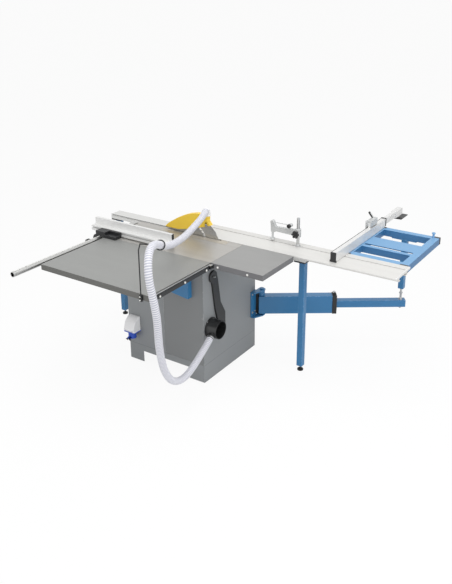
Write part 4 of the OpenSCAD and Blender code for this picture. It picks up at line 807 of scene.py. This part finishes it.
# Hold-down clamp: a bright post held in the T-slot, a cast alloy arm that slides up and down on
# it, and a black star knob that locks the arm.
satin_cast, shader, wire = new_finish("satin_cast_alloy", 0.45, 0.4)
sand = speckle(wire, 260.0, 3.0)
join_up(wire, shader, Base_Color=blend(wire, speckle(wire, 16.0), ink("#bfc1c1"), ink("#cfd1d1")),
        Roughness=0.38 + sand * 0.14, Normal=ripple(wire, sand, 0.3, 0.0005))
post_steel = drawn_metal("bright_post_steel", "#b9babb", "#d2d3d4", 0.25, (0, 0, 1), 1.0)
dressed("clamp_post_bar", "clamp_post", "sliding_table", "steel", post_steel, 0.0008)
dressed("cast_hold_down_arm", "hold_down_arm", "hold_down", "alu_cast", satin_cast, 0.0018, 3)
dressed("star_knob", "hold_down_knob", "hold_down_clamp", "black_plastic", black_plastic, 0.002, 3)
small_knob = turned("arm_adjust_knob", spot(296, 542.6, 981), (0, -1, 0),
                    [(0, 12.2), (2, 13.4), (12, 13.4), (2.5, 11), (0.6, 6)], 28)
fitted(small_knob, "hold_down", "black_plastic", black_plastic)

# Swing arm: a deep blue box section on the bracket's pin, with a cheek over its root and a pressed
# web behind the pin, coated black as painted shade inside the bracket. A black collar carries the
# bright roller that the inner tube slides on, and the inner tube ends in the outrigger's threaded pin.
dressed("swing_arm_outer", "arm_outer", "swing_arm", "blue_paint", blue_coat, 0.003, 3)
pivot_x, pivot_y, pin_x, pin_y = 35, 640, 832, 1182.3
arm_way = math.atan2(pin_y - pivot_y, pin_x - pivot_x)
roller_out, roller_z, roller_half, ring_from, ring_to = 503, 410, 12.3, 7.5, 9.6
collar_end = 518.4


def bright_on_collar(face):
    """True for the ring of the roller and for the bolt heads past the collar's end."""
    off = (face.center - spot(pivot_x, pivot_y, 0)) * 1000
    out = off.x * math.cos(arm_way) + off.y * math.sin(arm_way)
    side = off.y * math.cos(arm_way) - off.x * math.sin(arm_way)
    from_roller = math.hypot(out - roller_out, off.z - roller_z)
    return abs(side) < roller_half and ring_from < from_roller < ring_to or out > collar_end


collar = two_finishes(edged("swing_arm_collar", "arm_collar", 0.0012), black_plastic, satin_cast,
                      bright_on_collar)
fitted(collar, "swing_arm", "black_plastic", None, "arm_collar")

web_plan = ((1, 598), (7, 600), (7.6, 613.5), (13, 619.6), (17.5, 620.6), (26, 616.2),
            (25.6, 618.6), (15.4, 626.2), (1, 616))
web_z, web_tall = 258.4, 175.2
bpy.ops.object.select_all(action="DESELECT")
bpy.ops.mesh.primitive_circle_add(vertices=len(web_plan), radius=0.01, fill_type="NGON")
web = bpy.context.object
web.name = web.data.name = "shade_black_bracket_web"
for v, (x, y) in zip(web.data.vertices, web_plan):
    v.co = spot(x, y, web_z)
bpy.ops.object.mode_set(mode="EDIT")
bpy.ops.mesh.select_all(action="SELECT")
bpy.ops.mesh.extrude_region_move(TRANSFORM_OT_translate={"value": (0, 0, web_tall / 1000)})
bpy.ops.mesh.select_all(action="SELECT")
bpy.ops.mesh.normals_make_consistent(inside=False)
bpy.ops.mesh.bevel(offset=0.0004, segments=1)
bpy.ops.object.mode_set(mode="OBJECT")
# The web's black coat is painted shade: the inside of the bracket is dark from shadow.
fitted(web, "machine", "black_steel", black_coat)

half = Vector((0.5, 0.5, 0.5))
cheek = bar("arm_root_cheek", -half, half, 0.08, 2)  # bevelled before it is stretched
low, high = Vector((-0.021, -0.0322, 0.266)), Vector((0.024, -0.0275, 0.396))
cheek.data.transform(Matrix.Translation(spot(pivot_x, pivot_y, 0)) @ Matrix.Rotation(arm_way, 4, "Z")
                     @ Matrix.Translation((low + high) / 2) @ Matrix.Diagonal((*(high - low), 1)))
fitted(cheek, "swing_arm", "blue_paint", blue_coat)
pin_clear, tube_low, tube_high = 0.0145, 0.3065, 0.3555


def on_pin(face):
    """True for the threaded pin, above and below the inner tube."""
    off = (face.center - spot(pin_x, pin_y, 0)).xy
    return off.length < pin_clear and not tube_low < face.center.z < tube_high


inner_arm = two_finishes(edged("swing_arm_inner", "arm_inner", 0.0022, 3), blue_coat, zinc, on_pin)
fitted(inner_arm, "arm_bar", "blue_paint", None, "arm_inner")
thread = turned("outrigger_pin_thread", spot(pin_x, pin_y, 368), (0, 0, 1),
                [(0, 7.1)] + [(1, 7.9), (1, 7.1)] * 15, 28)
fitted(thread, "arm_bar", "steel", zinc)

# Crosscut fence: an alloy extrusion with a black strip let into its face and a black shoe, a
# telescoping tail with its foot plate, and a cast flip stop on a pin, with a black lever.
dressed("crosscut_profile", "crosscut_fence", "cross_bar", "alu", fence_alu, 0.0009)
dressed("crosscut_shoe", "fence_shoe", "cross_bar", "black_plastic", black_plastic, 0.0014)
foot_plate_z = 0.8465
tail = two_finishes(edged("crosscut_tail", "fence_extension", 0.0012), fence_alu, black_coat,
                    lambda face: face.center.z < foot_plate_z)
fitted(tail, "cross_tail", "alu", None, "fence_extension")
dressed("flip_stop_casting", "flip_stop", "stop", "alu_cast", satin_cast, 0.0018, 3)
lever = turned("flip_stop_lever", spot(650, 1040, 957), (-0.62, 0, 0.78),
               [(0, 5.2), (2, 6.2), (34, 7.4), (10, 7.4), (3, 5), (0.6, 2)], 24)
fitted(lever, "stop", "black_plastic", black_plastic)
face_strip = bar("crosscut_face_strip", spot(644.1, 440, 900), spot(648.6, 1194, 911.6), 0.0006)
fitted(face_strip, "cross_bar", "black_plastic", black_plastic)

low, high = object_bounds()
